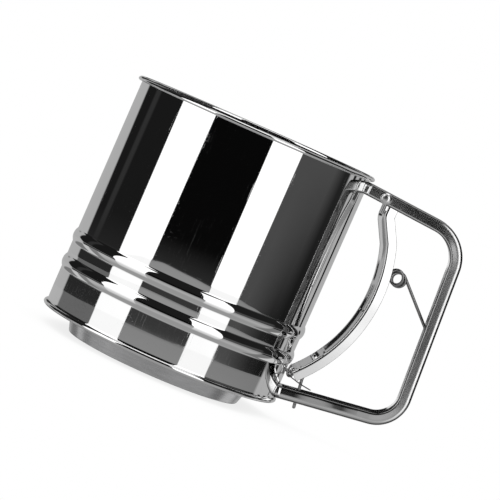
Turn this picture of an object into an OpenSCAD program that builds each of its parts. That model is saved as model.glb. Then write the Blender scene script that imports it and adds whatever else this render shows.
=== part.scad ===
// Hand flour sifter: sheet-metal cup with a woven screen and a turning
// agitator in its floor, worked by a trigger inside a loop handle.
// Origin: on the cup's axis, in the plane the base ring stands on.
// +Z is up, +X points from the axis to the handle.

/* [Cup] */
// Outer radius of the cup wall
wall_r = 50; // [48:0.5:53]
// Thickness of the cup's sheet
sheet = 0.5; // [0.4:0.05:0.7]
// Height of the centre of the curled rim
rim_z = 104.95; // [104.9:0.1:108]
// Height of the curled rim's section
rim_bead_h = 1.9; // [1.4:0.1:2.2]
// How far the two stiffening ridges stand out of the wall
ridge_out = 0.85; // [0.5:0.05:1.1]
// Height of each ridge's section
ridge_h = 6; // [4:0.1:6]
// Height of the lower ridge
ridge_lo_z = 25.8; // [25.8:0.2:28]
// Height of the upper ridge
ridge_hi_z = 36.9; // [34:0.2:40]
// Radius of the bead at the foot of the wall
foot_bead_r = 1.05; // [0.6:0.05:1.2]

/* [Base ring and screen] */
// Radius of the base ring where it leaves the floor
ring_top_r = 39.1; // [38.6:0.1:39.6]
// Radius of the base ring at its resting edge
ring_foot_r = 36.9; // [36:0.1:37.5]
// Thickness of the screen's two layers of wire
screen_t = 0.6; // [0.4:0.1:0.7]
// Radius of the screen
screen_r = 43; // [42:0.5:44]

/* [Agitator] */
// Radius swept by the agitator's blades
blade_r = 39; // [36:0.5:39]
// Number of blades
blade_n = 4; // [3:1:4]
// Radius of the pivot stud
stud_r = 2; // [1.5:0.1:2]
// Angle of the crank arm at rest
crank_a = 120; // [118:1:122]

/* [Handle] */
// Width of the handle's channel
handle_w = 13; // [12.6:0.2:16]
// Depth of the handle's channel
handle_d = 5.1; // [4.6:0.1:5.4]
// Thickness of the handle's sheet
handle_t = 0.8; // [0.7:0.05:0.8]
// Radius of the upper outer corner
corner_top_r = 17; // [14:0.5:19]
// Radius of the lower outer corner
corner_low_r = 14.5; // [12:0.5:16]

/* [Trigger] */
// Width of the trigger's channel
trig_w = 10.8; // [10:0.1:10.8]
// Thickness of the trigger's sheet
trig_t = 0.8; // [0.6:0.05:0.9]
// Radius of the trigger's curved finger face
trig_r = 57.5; // [57.3:0.1:57.8]
// Depth of the trigger's channel
trig_d = 6.8; // [6.7:0.1:7]

/* [Wire parts] */
// Radius of the drive link's wire
link_r = 0.7; // [0.6:0.05:0.72]
// Radius of the spring's wire
spring_wire_r = 0.65; // [0.5:0.05:0.66]
// Mean radius of the spring's coil
coil_r = 2.8; // [2.7:0.05:2.9]

/* [Hidden] */
$fn = 96;

fit_gap = 0.02;  // between parts fixed together
run_gap = 0.05;  // between parts that turn or are laid in

// heights of the floor, the screen and the stack on the stud
floor_lo = 7.2;
foot_z = 7.6;
floor_t = 0.6;
floor_hi = floor_lo + floor_t;
screen_hi = floor_hi + screen_t;
bridge_lo = 6.5;
washer_t = 0.8;
hub_lo = screen_hi + washer_t + run_gap;
star_lo = 12.2;
star_t = 0.8;
crank_lo = 16.6;
crank_t = 1.2;
hub_hi = 18.0;
washer_lo = hub_hi + run_gap;
nut_lo = washer_lo + washer_t;

// radii of the hub's steps that carry the star and the crank arm
star_seat_r = 5.5;
crank_seat_r = 4.5;

// trigger pivot, centre of the finger face's arc, coil centre and link eye, in X and Z
pivot = [wall_r + 8.8, 100.15];
face_center = [wall_r - 40.3, 63.4];
coil_center = [wall_r + 25.4, 72.9];
eye = [wall_r + 1.95, 19.9];

// drive link: Y of the run from the eye, height of the long run, pin in the crank (X, Y)
link_y = 3.4;
link_z = 20.6;
hook = [-10.5, 18.19];

// spring wire: Y of the guide rod's plane, the rod's arc and the coil's bearing
rod_y = -1.6;
rod_arc_r = norm(coil_center - face_center) - coil_r;
coil_a = heading(face_center, coil_center);

// handle: outer corner points and the ends at the wall, in X and Z
top_end = [wall_r, 103.5];
top_corner = [wall_r + 46.9, 100.1];
low_corner = [wall_r + 51.7, 16.1];
low_end = [wall_r + 0.6, 9.0];
top_a = heading(top_end, top_corner);
side_a = heading(top_corner, low_corner);
low_a = heading(low_corner, low_end);

// ---- points and outlines -----------------------------------------------
function heading(from, to) = atan2(to[1] - from[1], to[0] - from[0]);
function polar(center, radius, angle) = center + radius * [cos(angle), sin(angle)];
// a point given in X and Z, set at y
function at_y(point, y) = [point[0], y, point[1]];
function unit(v) = v / norm(v);
function reverse(list) = [for (i = [len(list) - 1:-1:0]) list[i]];
function flip_y(points) = [for (p = reverse(points)) [p[0], -p[1]]];

// points along an ellipse's arc, and along a circle's
function ellipse_pts(center, radii, from, to, steps) =
    [for (i = [0:steps]) let (a = from + (to - from) * i / steps)
        center + [radii[0] * cos(a), radii[1] * sin(a)]];
function arc_pts(center, radius, from, to, steps) =
    ellipse_pts(center, [radius, radius], from, to, steps);
// a slot's outline, its round ends centred at x0 and x1
function stadium(x0, x1, radius, steps) = concat(
    arc_pts([x1, 0], radius, -90, 90, steps), arc_pts([x0, 0], radius, 90, 270, steps));

// ---- shared solids -----------------------------------------------------
// round bar along Y, centred on y = 0
module cross_bar(point, radius, length, facets) {
    translate(at_y(point, length / 2)) rotate([90, 0, 0])
        cylinder(r = radius, h = length, $fn = facets);
}

// straight round bar between two points
module bar(from, to, radius) {
    span = to - from;
    length = norm(span);
    translate(from) rotate([0, acos(span[2] / length), atan2(span[1], span[0])])
        cylinder(r = radius, h = length, $fn = 32);
}

// round wire along points; sides and ups span each ring's plane
module tube(points, sides, ups, radius, facets) {
    last = len(points) - 1;
    polyhedron(
        points = [for (i = [0:last]) for (j = [0:facets - 1]) let (a = 360 * j / facets)
            points[i] + radius * cos(a) * sides[i] + radius * sin(a) * ups[i]],
        faces = concat(
            [[for (j = [0:facets - 1]) j]],
            [for (i = [0:last - 1]) for (j = [0:facets - 1])
                let (k = (j + 1) % facets, ring = i * facets, next = ring + facets)
                [ring + j, next + j, next + k, ring + k]],
            [[for (j = [facets - 1:-1:0]) last * facets + j]]),
        convexity = 10);
}

// round wire along points; ref is a direction the wire never runs along
module wire(points, radius, facets, ref) {
    last = len(points) - 1;
    along = [for (i = [0:last]) unit(points[min(i + 1, last)] - points[max(i - 1, 0)])];
    sides = [for (dir = along) unit(cross(ref, dir))];
    ups = [for (i = [0:last]) cross(along[i], sides[i])];
    tube(points, sides, ups, radius, facets);
}

// ---- folded sheet strips -----------------------------------------------
// A section has its outer face on x = 0 and its open side at negative x.
// Each half runs from the web's middle out to the flange's edge.
function folded_section(outer_half, inner_half) = concat(
    flip_y(outer_half), outer_half, reverse(concat(flip_y(inner_half), inner_half)));

// stations round a bend that turns clockwise by turn from angle start
function bend_stations(corner, start, turn, radius, steps) = let (
    center = polar(corner, -radius * tan(turn / 2), start) + radius * [sin(start), -cos(start)])
    [for (i = [0:steps]) let (a = start - turn * i / steps)
        [center[0] - radius * sin(a), center[1] + radius * cos(a), a, 1]];

// a section swept along stations [x, z, direction, depth scale];
// the open side lies to the right of the direction of travel
module strip(stations, section) {
    size = len(section);
    last = len(stations) - 1;
    end = last * size;
    polyhedron(
        points = [for (s = stations) for (p = section)
            [s[0] - s[3] * p[0] * sin(s[2]), p[1], s[1] + s[3] * p[0] * cos(s[2])]],
        faces = concat(
            [for (j = [0:size / 2 - 2]) [size - 1 - j, size - 2 - j, j + 1, j]],
            [for (i = [0:last - 1]) for (j = [0:size - 1])
                let (k = (j + 1) % size, ring = i * size, next = ring + size)
                [ring + j, ring + k, next + k, next + j]],
            [for (j = [0:size / 2 - 2])
                [end + j, end + j + 1, end + size - 2 - j, end + size - 1 - j]]),
        convexity = 10);
}

// ---- cup ---------------------------------------------------------------
// a ridge's outer and inner faces are arcs about one centre
ridge_arc_r = ridge_h * ridge_h / (8 * ridge_out) + ridge_out / 2;
ridge_center_x = wall_r + ridge_out - ridge_arc_r;
function ridge_pts(z, inset) = let (
    radius = ridge_arc_r - inset,
    half = acos((wall_r - inset - ridge_center_x) / radius))
    arc_pts([ridge_center_x, z], radius, -half, half, 12);

module cup_body() {
    rim_out = 1.85;  // how far the rim stands out of the wall
    rim_rx = (rim_out + sheet) / 2;
    rim_x = wall_r - sheet + rim_rx;
    rim_start_a = 180 + acos((rim_x - wall_r) / rim_rx);  // where it meets the wall
    slot_w = 2.2;
    color([0.80, 0.80, 0.81])
    difference() {
        rotate_extrude($fn = 180)
            polygon(concat(
                arc_pts([wall_r + 0.05, foot_z], foot_bead_r, -90, 90, 12),
                [[wall_r, foot_z + foot_bead_r]],
                ridge_pts(ridge_lo_z, 0),
                ridge_pts(ridge_hi_z, 0),
                ellipse_pts([rim_x, rim_z], [rim_rx, rim_bead_h / 2], rim_start_a, 540, 24),
                reverse(ridge_pts(ridge_hi_z, sheet)),
                reverse(ridge_pts(ridge_lo_z, sheet)),
                [[wall_r - sheet, foot_z - foot_bead_r]]));
        // slot the drive link passes through
        translate([wall_r - 5, link_y - slot_w / 2, 19.2]) cube([10, slot_w, 3.5]);
    }
}

// ---- base ring, screen and their fittings ------------------------------
foot_edge = 0.8;   // width of the base ring's resting edge
foot_inset = 0.4;  // from the foot's radius to the foot of the inner taper

// floor flange inside the cup, then a taper down to the resting edge
module base_ring() {
    flange_r = wall_r - sheet - run_gap;
    color([0.72, 0.72, 0.73])
    rotate_extrude($fn = 180)
        polygon([[flange_r, floor_lo],
                 [ring_top_r + 0.6, floor_lo],
                 [ring_top_r, floor_lo - 0.5],
                 [ring_foot_r + 0.2, 0.3],
                 [ring_foot_r, 0],
                 [ring_foot_r - foot_edge, 0],
                 [ring_foot_r - foot_edge, floor_t],
                 [ring_foot_r - foot_inset, floor_t + 0.1],
                 [ring_top_r - floor_t, floor_lo - 0.2],
                 [ring_top_r - 0.2, floor_hi],
                 [flange_r, floor_hi]]);
}

module mesh_screen() {
    color([0.62, 0.62, 0.64])
    translate([0, 0, floor_hi])
        difference() {
            cylinder(r = screen_r, h = screen_t, $fn = 180);
            translate([0, 0, -1]) cylinder(r = stud_r + run_gap, h = screen_t + 2);
        }
}

// stepped ring that laps over the screen's edge
module screen_retainer_ring() {
    lap_r = 39.6;
    ring_t = 0.6;
    outer_r = screen_r + 2;
    color([0.74, 0.74, 0.75])
    rotate_extrude($fn = 180)
        polygon([[lap_r, screen_hi],
                 [screen_r + run_gap, screen_hi],
                 [screen_r + run_gap, floor_hi],
                 [outer_r, floor_hi],
                 [outer_r, screen_hi + 0.3],
                 [outer_r - 0.3, screen_hi + ring_t],
                 [lap_r, screen_hi + ring_t]]);
}

// strip along Y across the base ring, its end tabs turned down along the taper
module support_bridge() {
    bridge_hi = floor_hi - 0.1;
    width = 10;
    tab_lo = 3;
    slope = (ring_top_r - floor_t - ring_foot_r + foot_inset) / (floor_lo - 0.3 - floor_t);
    // radius of the tab's outer face, just inside the base ring's taper
    function tab_r(z) = ring_foot_r - foot_inset + (z - floor_t - 0.1) * slope - 0.06;
    color([0.70, 0.70, 0.72])
    difference() {
        intersection() {
            rotate_extrude($fn = 180)
                polygon([[0, bridge_lo],
                         [tab_r(bridge_lo) - 1.2, bridge_lo],
                         [tab_r(tab_lo) - 1.1, tab_lo],
                         [tab_r(tab_lo), tab_lo],
                         [tab_r(7), 7],
                         [tab_r(7) + 0.1, bridge_hi],
                         [0, bridge_hi]]);
            translate([-width / 2, -60, 0]) cube([width, 120, 20]);
        }
        cylinder(r = stud_r + fit_gap, h = 20);
    }
}

// the stud's head lies under the bridge
module pivot_stud() {
    head_lo = 5;
    head_r = 4;
    stud_hi = 21.8;
    chamfer = 0.4;
    color([0.66, 0.66, 0.68])
    rotate_extrude()
        polygon([[0, head_lo], [head_r - 0.8, head_lo], [head_r, head_lo + 0.6],
                 [head_r, bridge_lo], [stud_r, bridge_lo], [stud_r, stud_hi - chamfer],
                 [stud_r - chamfer, stud_hi], [0, stud_hi]]);
}

// washer that turns on the stud
module stud_washer(radius, z) {
    translate([0, 0, z]) difference() {
        cylinder(r = radius, h = washer_t);
        translate([0, 0, -1]) cylinder(r = stud_r + run_gap, h = washer_t + 2);
    }
}

module bearing_washer() {
    color([0.75, 0.75, 0.76]) stud_washer(6.5, screen_hi);
}

module top_washer() {
    color([0.75, 0.75, 0.76]) stud_washer(5.2, washer_lo);
}

// hexagon with a domed top, bored from below
module cap_nut() {
    color([0.70, 0.70, 0.72])
    difference() {
        union() {
            translate([0, 0, nut_lo]) cylinder(r = 4.6, h = 2.8, $fn = 6);
            translate([0, 0, nut_lo + 2.6]) sphere(r = 3.55, $fn = 64);
        }
        // flat underside
        translate([0, 0, nut_lo - 5]) cylinder(r = 12, h = 5, $fn = 48);
        translate([0, 0, nut_lo - 1]) cylinder(r = stud_r + fit_gap, h = 4.2);
    }
}

// ---- agitator ----------------------------------------------------------
module agitator_hub() {
    bore_r = stud_r + 0.06;
    base_r = 6.5;
    chamfer = 0.4;
    color([0.68, 0.68, 0.70])
    rotate_extrude()
        polygon([[bore_r, hub_lo], [base_r - chamfer, hub_lo], [base_r, hub_lo + chamfer],
                 [base_r, star_lo], [star_seat_r, star_lo], [star_seat_r, crank_lo],
                 [crank_seat_r, crank_lo], [crank_seat_r, hub_hi], [bore_r, hub_hi]]);
}

// stamped star: flat arms with slanted skirts that sweep the screen
module agitator_blades() {
    arm_w = 4.8;
    edge_y = -arm_w / 2;
    skirt_lo = screen_hi + 0.4;
    star_hi = star_lo + star_t;
    color([0.77, 0.77, 0.78])
    difference() {
        union() {
            translate([0, 0, star_lo]) cylinder(r = 9.6, h = star_t);
            intersection() {
                for (i = [0:blade_n - 1])
                    rotate([0, 0, crank_a + 180 / blade_n + i * 360 / blade_n]) {
                        translate([4, edge_y, star_lo]) cube([blade_r, arm_w, star_t]);
                        translate([11, 0, 0]) rotate([90, 0, 90]) linear_extrude(blade_r)
                            polygon([[edge_y, star_hi], [-0.6, star_hi],
                                     [-1.4, star_lo], [-4.2, skirt_lo],
                                     [-5.2, skirt_lo], [edge_y, star_lo]]);
                    }
                cylinder(r = blade_r, h = 40, $fn = 180);
            }
        }
        cylinder(r = star_seat_r + fit_gap, h = 40);
    }
}

// round boss and arm, with a slot for the link's hook
module crank_arm() {
    color([0.73, 0.73, 0.75])
    rotate([0, 0, crank_a]) translate([0, 0, crank_lo])
        difference() {
            linear_extrude(crank_t) difference() {
                union() {
                    circle(r = 7.2);
                    polygon(stadium(3, 21.4, 3.5, 20));
                }
                polygon(stadium(18, 21.2, 1.2, 16));
            }
            translate([0, 0, -1]) cylinder(r = crank_seat_r + fit_gap, h = crank_t + 2);
        }
}

// ---- drive link --------------------------------------------------------
// a curve that rounds corner between before and after, starting setback from it
function soft_bend(before, corner, after, setback, steps) = let (
    from = corner + unit(before - corner) * setback,
    to = corner + unit(after - corner) * setback)
    [for (i = [0:steps]) let (t = i / steps)
        from * (1 - t) * (1 - t) + corner * 2 * t * (1 - t) + to * t * t];

// pin through the trigger's curl, long run into the cup, hook down into the crank
module drive_link() {
    corners = [at_y(eye, -link_y),
               at_y(eye, link_y),
               [eye[0] - 3.2, link_y, link_z],
               [26, link_y, link_z],
               [hook[0], hook[1], link_z],
               [hook[0], hook[1], 14.2]];
    // setback and steps at each inner corner
    bends = [[1.2, 8], [0.9, 4], [4, 6], [1.6, 8]];
    path = concat(
        [corners[0]],
        [for (i = [0:3])
            for (p = soft_bend(corners[i], corners[i + 1], corners[i + 2],
                               bends[i][0], bends[i][1])) p],
        [corners[5]]);
    color([0.70, 0.70, 0.72])
    wire(path, link_r, 16, [0.35, -0.45, 0.82]);
}

module link_push_nut() {
    color([0.60, 0.60, 0.62])
    translate([hook[0], hook[1], 14.6]) difference() {
        union() {
            cylinder(r = 2.3, h = 0.4, $fn = 48);
            cylinder(r1 = 1.8, r2 = 1.3, h = 0.75, $fn = 48);
        }
        translate([0, 0, -1]) cylinder(r = link_r + fit_gap, h = 3, $fn = 32);
    }
}

// thin wire clip round the link's pin, with a tail
module link_clip() {
    clip_y = -2.9;
    wire_r = 0.25;
    color([0.55, 0.55, 0.58])
    union() {
        translate(at_y(eye, clip_y)) rotate([90, 0, 0])
            rotate_extrude($fn = 48) translate([0.98, 0]) circle(r = wire_r, $fn = 24);
        bar(at_y(eye + [0.45, -1.05], clip_y), at_y(eye + [10.25, -2.8], clip_y), wire_r);
    }
}

// ---- handle ------------------------------------------------------------
// half of the handle's section, inset from its outer face: quarter-ellipse
// shoulder, then a straight flange
function handle_half(inset) = let (depth = 2.1, width = 1.2) concat(
    ellipse_pts([-depth, handle_w / 2 - width], [depth - inset, width - inset], 0, 90, 4),
    [[-handle_d, handle_w / 2 - inset]]);

// curved plate against the cup wall at one end of the handle
module end_plate(z) {
    plate_h = 4.7;
    intersection() {
        difference() {
            translate([0, 0, z]) cylinder(r = wall_r + 1.25, h = plate_h, $fn = 180);
            translate([0, 0, z - 1])
                cylinder(r = wall_r + fit_gap, h = plate_h + 2, $fn = 180);
        }
        translate([0, -handle_w / 2 + 0.3, z - 1]) cube([80, handle_w - 0.6, plate_h + 2]);
    }
}

module handle_frame() {
    // the ends run on into the wall and are trimmed by it
    start = polar(top_end, -1, top_a);
    finish = polar(low_end, 1.4, low_a);
    stations = concat(
        [[start[0], start[1], top_a, 1]],
        bend_stations(top_corner, top_a, top_a - side_a, corner_top_r, 12),
        bend_stations(low_corner, side_a, side_a - low_a, corner_low_r, 12),
        [[finish[0], finish[1], low_a, 1]]);
    low_slope = low_a + 180;
    slot_x = 6.2;  // from the arm's end to the slot
    slot_w = 2;
    color([0.80, 0.80, 0.81])
    difference() {
        union() {
            strip(stations, folded_section(handle_half(0), handle_half(handle_t)));
            end_plate(98.5);
            end_plate(9.4);
        }
        cylinder(r = wall_r + fit_gap, h = 120, $fn = 180);
        // holes for the trigger's rivet
        cross_bar(pivot, 1.22, 40, 48);
        // guide slot in the lower arm
        translate([low_end[0] + slot_x, rod_y - slot_w / 2,
                   low_end[1] + slot_x * tan(low_slope) - 1])
            rotate([0, -low_slope, 0]) cube([27, slot_w, 3]);
    }
}

// ---- trigger -----------------------------------------------------------
// half of the trigger's section: round shoulder of the given radius, then a
// flange that leans in, with a bead on it
shoulder_r = 2.3;
flange_lean = 13;
function trigger_half(radius, bead) = let (
    center = [-shoulder_r, trig_w / 2 - shoulder_r],
    root = polar(center, radius, 90 + flange_lean),
    along = [-cos(flange_lean), -sin(flange_lean)],
    out = [-sin(flange_lean), cos(flange_lean)],
    length = (trig_d + root[0]) / cos(flange_lean))
    concat(arc_pts(center, radius, 0, 90 + flange_lean, 4),
           [root + along * 0.15, root + along * 0.4 + out * bead,
            root + along * 0.85 + out * bead, root + along * 1.1, root + along * length]);

// stations up the trigger: the finger face's arc, the knee, the upright end
function trigger_stations() = let (
    low = -44.7,
    high = 19.4,
    knee = [pivot[0] - 0.4, 92.6],
    top = polar(face_center, trig_r, high),
    knee_a = heading(top, knee),
    mitre = (high + 90 + knee_a) / 2)
    concat(
        [for (i = [0:25])
            let (a = low + (high - low) * i / 26, p = polar(face_center, trig_r, a))
            [p[0], p[1], a + 90, 1]],
        [[top[0], top[1], mitre, 1 / cos(mitre - knee_a)]],
        bend_stations(knee, knee_a, knee_a - 90, 8, 5),
        [[knee[0], 98.1, 90, 1]]);

// flat ear round the rivet, with a neck down to the flange
module ear() {
    circle(r = 1.7, $fn = 64);
    polygon([[1.5, -4.6], [4.0, -4.6], [3.8, -1.0], [1.4, 1.05], [-1.1, 1.1],
             [-1.5, -0.6], [-1.0, -1.6], [1.4, -2.2]]);
}

// round bar on the guide rod's arc, between two angles
module rod_arc(radius, from, to) {
    translate(at_y(face_center, rod_y)) rotate([90, 0, 0]) rotate([0, 0, from])
        rotate_extrude(angle = to - from, $fn = 240) translate([rod_arc_r, 0])
            circle(r = radius, $fn = 32);
}

module trigger() {
    tongue_w = 4.4;
    lug_w = 3;
    lug_t = 1;
    color([0.80, 0.80, 0.81])
    difference() {
        union() {
            strip(trigger_stations(),
                  folded_section(trigger_half(shoulder_r, 0.28),
                                 trigger_half(shoulder_r - trig_t, 0)));
            for (side = [-1, 1])
                translate(at_y(pivot, side * (trig_w - trig_t) / 2))
                    rotate([90, 0, 0]) linear_extrude(trig_t, center = true) ear();
            // tongue and curl round the link's pin
            translate([eye[0] - 1.4, -tongue_w / 2, eye[1] + 0.4]) cube([0.8, tongue_w, 3.3]);
            cross_bar(eye, 1.55, tongue_w, 48);
            // lugs that hold the guide rod
            for (a = [-8, -34])
                translate(at_y(face_center, rod_y)) rotate([0, -a, 0])
                    translate([trig_r + 0.4, -lug_w / 2, -lug_t / 2])
                        cube([trig_d - 0.7, lug_w, lug_t]);
        }
        cross_bar(pivot, 1.25, 40, 48);
        cross_bar(eye, link_r + run_gap, 40, 48);
        rod_arc(spring_wire_r + 0.03, -44, 12);
    }
}

// shallow dome standing on z = 0
module rivet_head() {
    head_r = 2.45;
    head_h = 1.2;
    dome_r = (head_r * head_r + head_h * head_h) / (2 * head_h);
    intersection() {
        translate([0, 0, head_h - dome_r]) sphere(r = dome_r, $fn = 96);
        cylinder(r = 5, h = 3, $fn = 48);
    }
}

module trigger_rivet() {
    head_z = handle_w / 2 + fit_gap;
    color([0.76, 0.76, 0.77])
    translate(at_y(pivot, 0)) rotate([90, 0, 0]) union() {
        translate([0, 0, -head_z]) cylinder(r = 1.2, h = 2 * head_z, $fn = 48);
        translate([0, 0, head_z]) rivet_head();
        translate([0, 0, -head_z]) mirror([0, 0, 1]) rivet_head();
    }
}

// ---- spring ------------------------------------------------------------
// coil that advances along +Y and ends in a straight leg
module return_spring() {
    steps = 72;
    coil_turn = 861.9;
    coil_pitch = 1.6;
    leg_length = 28;
    coil_length = coil_pitch * coil_turn / 360;
    angles = [for (i = [0:steps]) coil_a + 180 - coil_turn * i / steps];
    leg_a = angles[steps];
    leg_end = polar(polar(coil_center, coil_r, leg_a), leg_length, leg_a - 90);
    path = concat(
        [for (i = [0:steps])
            at_y(polar(coil_center, coil_r, angles[i]), rod_y + coil_length * i / steps)],
        [at_y(leg_end, rod_y + coil_length)]);
    sides = [for (a = concat(angles, [leg_a])) [cos(a), 0, sin(a)]];
    ups = [for (p = path) [0, -1, 0]];
    color([0.66, 0.66, 0.68]) tube(path, sides, ups, spring_wire_r, 12);
}

// the spring wire's long leg: lies along the trigger and drops through the
// guide slot of the lower arm
module guide_rod() {
    joint_a = -41.7;
    joint = polar(face_center, rod_arc_r, joint_a);
    color([0.66, 0.66, 0.68])
    union() {
        rod_arc(spring_wire_r, joint_a, coil_a - 0.8);
        translate(at_y(joint, rod_y)) sphere(r = spring_wire_r + 0.04, $fn = 32);
        bar(at_y(joint, rod_y), at_y(joint + [1.75, -13.3], rod_y), spring_wire_r);
    }
}

cup_body();
base_ring();
mesh_screen();
screen_retainer_ring();
support_bridge();
pivot_stud();
bearing_washer();
agitator_hub();
agitator_blades();
crank_arm();
top_washer();
cap_nut();
drive_link();
link_push_nut();
link_clip();
handle_frame();
trigger();
trigger_rivet();
return_spring();
guide_rod();
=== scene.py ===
# A hand-held sifter worked by a squeeze trigger. The cup stands upright on +Z about the origin,
# its foot near z = 0. Handle and trigger are out along +X, and the camera looks from -Y.
# Under the screen's washers a four-armed agitator turns, driven through a wire link.
# Shapes are worked out in millimetres and turned into metres when a mesh is made.
import math

import bmesh
import bpy
import numpy as np
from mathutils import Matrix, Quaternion, Vector
from mathutils.geometry import tessellate_polygon


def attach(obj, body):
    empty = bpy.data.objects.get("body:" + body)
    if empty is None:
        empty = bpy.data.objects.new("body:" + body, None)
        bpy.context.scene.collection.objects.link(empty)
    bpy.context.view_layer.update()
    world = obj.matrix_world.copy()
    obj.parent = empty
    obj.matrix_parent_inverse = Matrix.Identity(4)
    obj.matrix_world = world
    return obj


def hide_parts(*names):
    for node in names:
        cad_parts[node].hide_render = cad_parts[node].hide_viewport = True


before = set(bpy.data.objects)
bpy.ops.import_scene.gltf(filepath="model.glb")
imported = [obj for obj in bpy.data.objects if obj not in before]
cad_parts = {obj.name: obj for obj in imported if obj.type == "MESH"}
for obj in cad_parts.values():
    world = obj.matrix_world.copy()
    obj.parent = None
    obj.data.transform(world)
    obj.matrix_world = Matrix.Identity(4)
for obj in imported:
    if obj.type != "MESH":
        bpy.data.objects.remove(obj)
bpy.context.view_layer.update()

scene = bpy.context.scene

# ---------------------------------------------------------------- shared dimensions
MM = 0.001
WALL = 50.0                 # outer radius of the cup wall
SHEET = 0.5                 # thickness of the cup wall
STRIP = 0.8                 # thickness of the handle and trigger sheet
PIVOT = (58.8, 100.15)      # x, z of the trigger's rivet
ARC_CENTRE = (9.7, 63.4)    # x, z of the trigger's curve
COIL_CENTRE = (75.4, 72.9)  # x, z of the spring's coil
COIL_RADIUS = 2.8
SPRING_WIRE = 0.65          # radius of the spring's and the guide rod's wire
ROD_Y = -1.6
ROD_ARC = math.hypot(COIL_CENTRE[0] - ARC_CENTRE[0], COIL_CENTRE[1] - ARC_CENTRE[1]) - COIL_RADIUS
COIL_ANGLE = math.degrees(math.atan2(COIL_CENTRE[1] - ARC_CENTRE[1],
                                     COIL_CENTRE[0] - ARC_CENTRE[0]))
EYE = (51.95, 19.9)         # x, z where the link passes through the trigger
HOOK = (-10.5, 18.19)       # x, y where the link goes down into the crank arm
CRANK_ANGLE = math.radians(120)


# ---------------------------------------------------------------- small geometry
def unit(vector):
    vector = np.array(vector, float)
    return vector / np.linalg.norm(vector)


def smoothstep(share):
    return share * share * (3 - 2 * share)


def heading(start, end):
    return math.atan2(end[1] - start[1], end[0] - start[0])


def evenly(start, end, count):
    return [start + (end - start) * i / count for i in range(count + 1)]


def between(start, end, count):
    """The points that divide a straight into count parts, without its ends."""
    start, end = np.array(start, float), np.array(end, float)
    return [start + (end - start) * i / count for i in range(1, count)]


def circle(x, y, radius, count):
    turns = [2 * math.pi * i / count for i in range(count)]
    return [(x + radius * math.cos(turn), y + radius * math.sin(turn)) for turn in turns]


def fillet(corners, steps=4, radius=None):
    """A closed outline with rounded corners; each corner is (u, v, radius), or (u, v)
    when one radius serves them all."""
    outline = []
    for i, corner in enumerate(corners):
        wanted = corner[2] if radius is None else radius
        corner = np.array(corner[:2], float)
        before = np.array(corners[i - 1][:2], float) - corner
        after = np.array(corners[(i + 1) % len(corners)][:2], float) - corner
        before_length, after_length = np.linalg.norm(before), np.linalg.norm(after)
        before, after = before / before_length, after / after_length
        angle = math.acos(max(-1, min(1, float(before @ after))))
        if wanted <= 0 or angle > math.pi - 0.02:
            outline.append(tuple(corner))
            continue
        reach = min(wanted / math.tan(angle / 2), 0.45 * before_length, 0.45 * after_length)
        arc = reach * math.tan(angle / 2)
        centre = corner + unit(before + after) * arc / math.sin(angle / 2)
        first = corner + before * reach - centre
        last = corner + after * reach - centre
        start = math.atan2(first[1], first[0])
        sweep = (math.atan2(last[1], last[0]) - start + math.pi) % (2 * math.pi) - math.pi
        for k in range(steps + 1):
            turn = start + sweep * k / steps
            outline.append((centre[0] + arc * math.cos(turn), centre[1] + arc * math.sin(turn)))
    return outline


def ease_corner(before, corner, after, reach, steps):
    """Points on a quadratic curve that cuts a 3-D corner, reach away on either side."""
    before, corner, after = (np.array(point, float) for point in (before, corner, after))
    start = corner + unit(before - corner) * reach
    end = corner + unit(after - corner) * reach
    shares = [i / steps for i in range(steps + 1)]
    return [start * (1 - t) ** 2 + corner * 2 * t * (1 - t) + end * t * t for t in shares]


def bend(corner, angle, turn, radius, steps):
    """Stations (x, z, heading) round a clockwise bend between two straights meeting at corner."""
    reach = radius * math.tan(turn / 2)
    start = (corner[0] - math.cos(angle) * reach, corner[1] - math.sin(angle) * reach)
    centre = (start[0] + radius * math.sin(angle), start[1] - radius * math.cos(angle))
    headings = [angle - turn * i / steps for i in range(steps + 1)]
    return [(centre[0] - radius * math.sin(a), centre[1] + radius * math.cos(a), a)
            for a in headings]


def straight(start, angle, distances):
    """Stations (x, z, heading) at the given distances from start."""
    return [(start[0] + math.cos(angle) * d, start[1] + math.sin(angle) * d, angle)
            for d in distances]


def mirrored(section):
    """The other half of a channel section of (depth, y, normal depth, normal y, share)."""
    return [(depth, -y, normal_depth, -normal_y, share)
            for depth, y, normal_depth, normal_y, share in reversed(section)]


# ---------------------------------------------------------------- mesh builders
# each gives (vertices, faces)
def lathe(profile, count, closed=True, place=None, limit=None, start=0.0):
    """A profile of (radius, z) turned about Z; limit gives the largest radius at an angle."""
    verts, faces, size = [], [], len(profile)
    for i in range(count):
        turn = 2 * math.pi * i / count
        for radius, z in profile:
            if limit:
                radius = min(radius, limit(turn))
            point = (radius * math.cos(turn + start), radius * math.sin(turn + start), z)
            verts.append(place(*point) if place else point)
    for i in range(count):
        here, there = i * size, (i + 1) % count * size
        for j in range(size if closed else size - 1):
            k = (j + 1) % size
            faces.append((here + j, here + k, there + k, there + j))
    return verts, faces


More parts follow.
